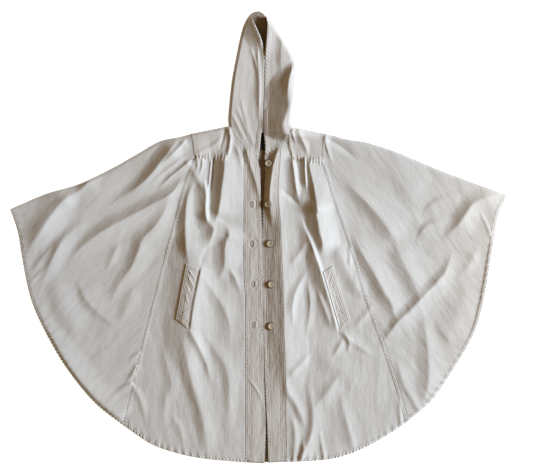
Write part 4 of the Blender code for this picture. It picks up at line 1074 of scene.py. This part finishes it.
def sewnButtons(tree):
    pattern = turnedButton()
    rim = circle(16, buttonLook["radius"]) + [(0, 0)]
    holes = circle(buttonLook["holes"], buttonLook["holeReach"], math.pi / buttonLook["holes"])
    for count, (x, y) in enumerate(buttonPlaces, 1):
        lean = leanAt(tree, x, y, buttonLook["leanReach"]) * buttonLook["lean"]
        height = max(heightAt(tree, x + dx, y + dy) - lean[0] * dx - lean[1] * dy for dx, dy in rim)
        tilt = Vector((0, 0, 1)).rotation_difference(Vector((-lean[0], -lean[1], 1))).to_matrix().to_4x4()
        place = Matrix.Translation(Vector((x, y, height + buttonLook["gap"])) * mm) @ tilt
        button = pattern.copy()
        button.data = pattern.data.copy()
        button.name = f"sewnButton{count}"
        button.data.transform(place)
        bpy.context.scene.collection.objects.link(button)
        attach(button, "root")
        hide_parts(f"button_{count}")
        corners = [np.array(place @ (Vector((*hole, buttonLook["bed"])) * mm)) / mm for hole in holes]
        sewnStitches(f"buttonThread{count}", [corners[::2], corners[1::2]])
    bpy.data.objects.remove(pattern, do_unlink=True)


# buttonholes: a ring of close stitches round a slit, a near-black box painted as the shade in the cut
holeLook = dict(
    halfLength=8.0, halfWidth=2.6, squareness=0.7, stitch=3.2, stitches=46, lift=0.25,
    slitWidth=1.5, slitLength=13.6, slitBed=0.05, slitTop=0.3, slitTaper=0.7, slitCuts=6,
)


def slitShadeMaterial():
    # painted shade: a near-black look for the buttonhole slit, standing for the shade in the cut
    mat = Material("slitPaintedShade")
    lint = mat.noise(mat.place(), 1500.0, 2.0)
    colour = mat.mix(lint, (0.03, 0.024, 0.018, 1), (0.07, 0.055, 0.04, 1))
    return mat.feed(Base_Color=colour, Roughness=0.95)


def buttonhole(name, x, y, tree, slit):
    long, wide, reach = holeLook["halfLength"], holeLook["halfWidth"], holeLook["stitch"] / 2
    spots = []
    for out in np.array(circle(holeLook["stitches"], 1.0)):
        farOut = math.copysign(abs(out[1]) ** holeLook["squareness"], out[1])
        middle = np.array((x + wide * out[0], y + long * farOut))
        out = out / np.array((wide, long))
        out = out / np.hypot(*out)
        ends = [middle - out * reach, middle + out * reach]
        spots.append([np.array((*place, heightAt(tree, *place) + holeLook["lift"])) for place in ends])
    sewnStitches(name, spots)
    bpy.ops.object.select_all(action="DESELECT")
    # the slit is a thin near-black box laid on the cloth, painted shade
    bpy.ops.mesh.primitive_cube_add(size=1, location=(x * mm, y * mm, 0))
    gap = bpy.context.object
    gap.name = name + "Slit"
    bpy.ops.transform.resize(value=(holeLook["slitWidth"] * mm, holeLook["slitLength"] * mm, mm))
    bpy.ops.object.transform_apply(location=True, scale=True)
    bpy.ops.object.mode_set(mode="EDIT")
    bpy.ops.mesh.select_all(action="SELECT")
    bpy.ops.mesh.subdivide(number_cuts=holeLook["slitCuts"])
    bpy.ops.object.mode_set(mode="OBJECT")
    for vert in gap.data.vertices:  # its ends are narrower, and it lies on the cloth
        lift = holeLook["slitTop"] if vert.co.z > 0 else holeLook["slitBed"]
        share = abs(vert.co.y / mm - y) / (holeLook["slitLength"] / 2)
        vert.co.z = (heightAt(tree, vert.co.x / mm, vert.co.y / mm) + lift) * mm
        vert.co.x = x * mm + (vert.co.x - x * mm) * (1 - holeLook["slitTaper"] * share**3)
    gap.data.materials.append(slit)
    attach(gap, "root")


def labelMaterial():
    mat = Material("wovenLabel")
    place = mat.place()
    ribs = mat.node("ShaderNodeTexWave", {"bands_direction": "Y"},
                    {"Vector": place, "Scale": 420.0, "Distortion": 0.6})
    lint = mat.noise(place, 900.0, 2.0)
    colour = mat.mix(0.5 * ribs + 0.5 * lint, (0.008, 0.008, 0.01, 1), (0.035, 0.033, 0.035, 1))
    return mat.feed(Base_Color=colour, Roughness=0.8, Normal=mat.bump(0.4, 0.0003, ribs))


pieces = dict(back=backPiece())
makers = dict(wing=wing, front=frontBody, placket=placket, yoke=yokePiece, hood=hoodPiece, welt=weltPiece)
for kind, maker in makers.items():
    for hand in hands:
        pieces[kind + hand] = maker(hand)
hoodTape()
print("cloth pieces made:", len(pieces))

# sewn bands: their name and that of their stitches, kind, piece below, side of the line (1 as in hands, -1
# the other), phase of the puckers on the left and the right, and slants
sewnPlan = (
    ("hemSide", "hemStitchesSide", "hem", "sidePanel", -1, (0.3, 1.1), (0, 0)),
    ("hemFront", "hemStitchesFront", "hem", "front", 1, (2.2, 3.1), (0, 0)),
    ("sideSeam", "sideStitches", "side", "front", 1, (0.8, 1.9), (0, 0)),
    ("hoodEdge", "hoodStitches", "hood", "hood", 1, (2.5, 0.4), (1.05, 0)),
    ("neckSeam", "neckStitches", "neck", "hood", 1, (1.4, 2.8), (0, 1.05)),
    ("yokeInner", "yokeInnerStitches", "neck", "yoke", 1, (0.2, 1.2), (0, 0)),
    ("yokeOuter", "yokeOuterStitches", "neck", "yoke", 1, (2.2, 3.2), (0, 0)),
    ("yokeSeam", "yokeStitches", "yoke", "yoke", 1, (0.6, 1.6), (0, 0)),
)


def bandLines(hand):  # the line of each sewn band, cut short where it would run into another
    yoke = seam["yoke" + hand]
    return dict(
        hemSide=outline["hemWing" + hand], hemFront=outline["hemFront" + hand],
        sideSeam=cutShort(seam["side" + hand], 0, 10.5), hoodEdge=seam["hoodEdge" + hand][:-1],
        neckSeam=seam["neck" + hand], yokeInner=cutShort(yoke[2:4], 7, 2),
        yokeOuter=cutShort(yoke[:2], 5, 7), yokeSeam=yoke[1:3],
    )


top = feeler(*(piece for key, piece in pieces.items() if key != "back"))
sewn = []
for name, stitches, kind, below, side, phases, slants in sewnPlan:
    for (hand, turn), phase in zip(hands.items(), phases):
        line = bandLines(hand)[name]
        sewn.append(sewnBand(name + hand, kind, line, side * turn, top, phase, slants))
print("sewn bands made:", len(sewn))

topSewn = feeler(*(piece for key, piece in pieces.items() if key != "back"), *sewn)
for hand, turn in hands.items():
    rows = [(seam["band" + hand], turn * row) for row in bandRows["fromSeam"]]
    rows += [(seam["edge" + hand], -turn * row) for row in bandRows["fromEdge"]]
    sewnRows("placketStitches" + hand, topSewn, rows)
for name, stitches, kind, below, side, phases, slants in sewnPlan:
    for hand, turn in hands.items():
        line = bandLines(hand)[name][1 if name == "hoodEdge" else 0:]
        sewnRows(stitches + hand, topSewn, [(line, side * turn * row) for row in bands[kind]["rows"]])
for hand, (upperLeft, upperRight, lowerRight, lowerLeft) in welts.items():
    ends = weltLook["stitchEnds"]
    rows = [(path(upperLeft, lowerLeft), row, ends) for row in weltRows[hand]["leftSide"]]
    rows += [(path(upperRight, lowerRight), -row, ends) for row in weltRows[hand]["rightSide"]]
    for row in weltRows[hand]["ends"][:weltLook["sewnEnds"]]:
        rows += [(path(upperLeft, upperRight), -row), (path(lowerLeft, lowerRight), row)]
    sewnRows("weltStitches" + hand, topSewn, rows)
print("stitches sewn")

sewnButtons(topSewn)
slitPaintedShade = slitShadeMaterial()
for count, (x, y) in enumerate(buttonholes, 1):
    buttonhole(f"buttonhole{count}", x, y, topSewn, slitPaintedShade)
wovenLabel = labelMaterial()
for slot in bpy.data.objects["neck_label"].material_slots:
    slot.material = wovenLabel
print("buttons, buttonholes and label ready")

studio = dict(
    cameraHeight=4.0, frameWidth=1.439, centre=(0.0208, 0.0043), sensor=36.0, farthest=50.0,
    keyPlace=(6.4, 0.3, 3.66), keySize=2.3, keyPower=938.0, keyColour=(0.77, 0.89, 1.075),
    fill=(1.03, 0.605, 0.2), fillStrength=0.22,
    floorSize=60.0, floorDrop=0.0005, paper=(0.6, 0.6, 0.6, 1), paperGlow=0.95,
)


def studioSetup():
    camera = bpy.data.objects.new("overheadCamera", bpy.data.cameras.new("overheadCamera"))
    camera.location = (*studio["centre"], studio["cameraHeight"])
    camera.data.sensor_width = studio["sensor"]
    camera.data.lens = studio["sensor"] * studio["cameraHeight"] / studio["frameWidth"]
    camera.data.clip_end = studio["farthest"]
    bpy.context.scene.collection.objects.link(camera)
    bpy.context.scene.camera = camera
    key = bpy.data.objects.new("windowLight", bpy.data.lights.new("windowLight", "AREA"))
    key.data.size = studio["keySize"]
    key.data.energy = studio["keyPower"]
    key.data.color = studio["keyColour"]
    key.location = studio["keyPlace"]
    key.rotation_euler = (-Vector(studio["keyPlace"])).to_track_quat("-Z", "Y").to_euler()
    bpy.context.scene.collection.objects.link(key)
    world = bpy.data.worlds.new("softRoom")
    world.use_nodes = True
    nodes, links = world.node_tree.nodes, world.node_tree.links
    nodes["Background"].inputs[0].default_value = (*studio["fill"], 1)
    nodes["Background"].inputs[1].default_value = studio["fillStrength"]
    wall = nodes.new("ShaderNodeBackground")  # the camera sees a white wall, the cloth is lit by the warm one
    rays = nodes.new("ShaderNodeLightPath")
    both = nodes.new("ShaderNodeMixShader")
    links.new(rays.outputs["Is Camera Ray"], both.inputs[0])
    links.new(nodes["Background"].outputs[0], both.inputs[1])
    links.new(wall.outputs[0], both.inputs[2])
    links.new(both.outputs[0], nodes["World Output"].inputs["Surface"])
    wall.inputs[0].default_value = (1, 1, 1, 1)
    bpy.context.scene.world = world
    bpy.context.scene.view_settings.view_transform = "Standard"
    bpy.ops.object.select_all(action="DESELECT")
    bpy.ops.mesh.primitive_plane_add(size=studio["floorSize"], location=(0, 0, -studio["floorDrop"]))
    floor = bpy.context.object
    floor.name = "paleFloor"
    paper = Material("palePaper")
    paper.feed(Base_Color=studio["paper"], Roughness=0.9, Emission_Color=(1, 1, 1, 1),
               Emission_Strength=studio["paperGlow"])
    floor.data.materials.append(paper.made)


studioSetup()
print("studio ready")
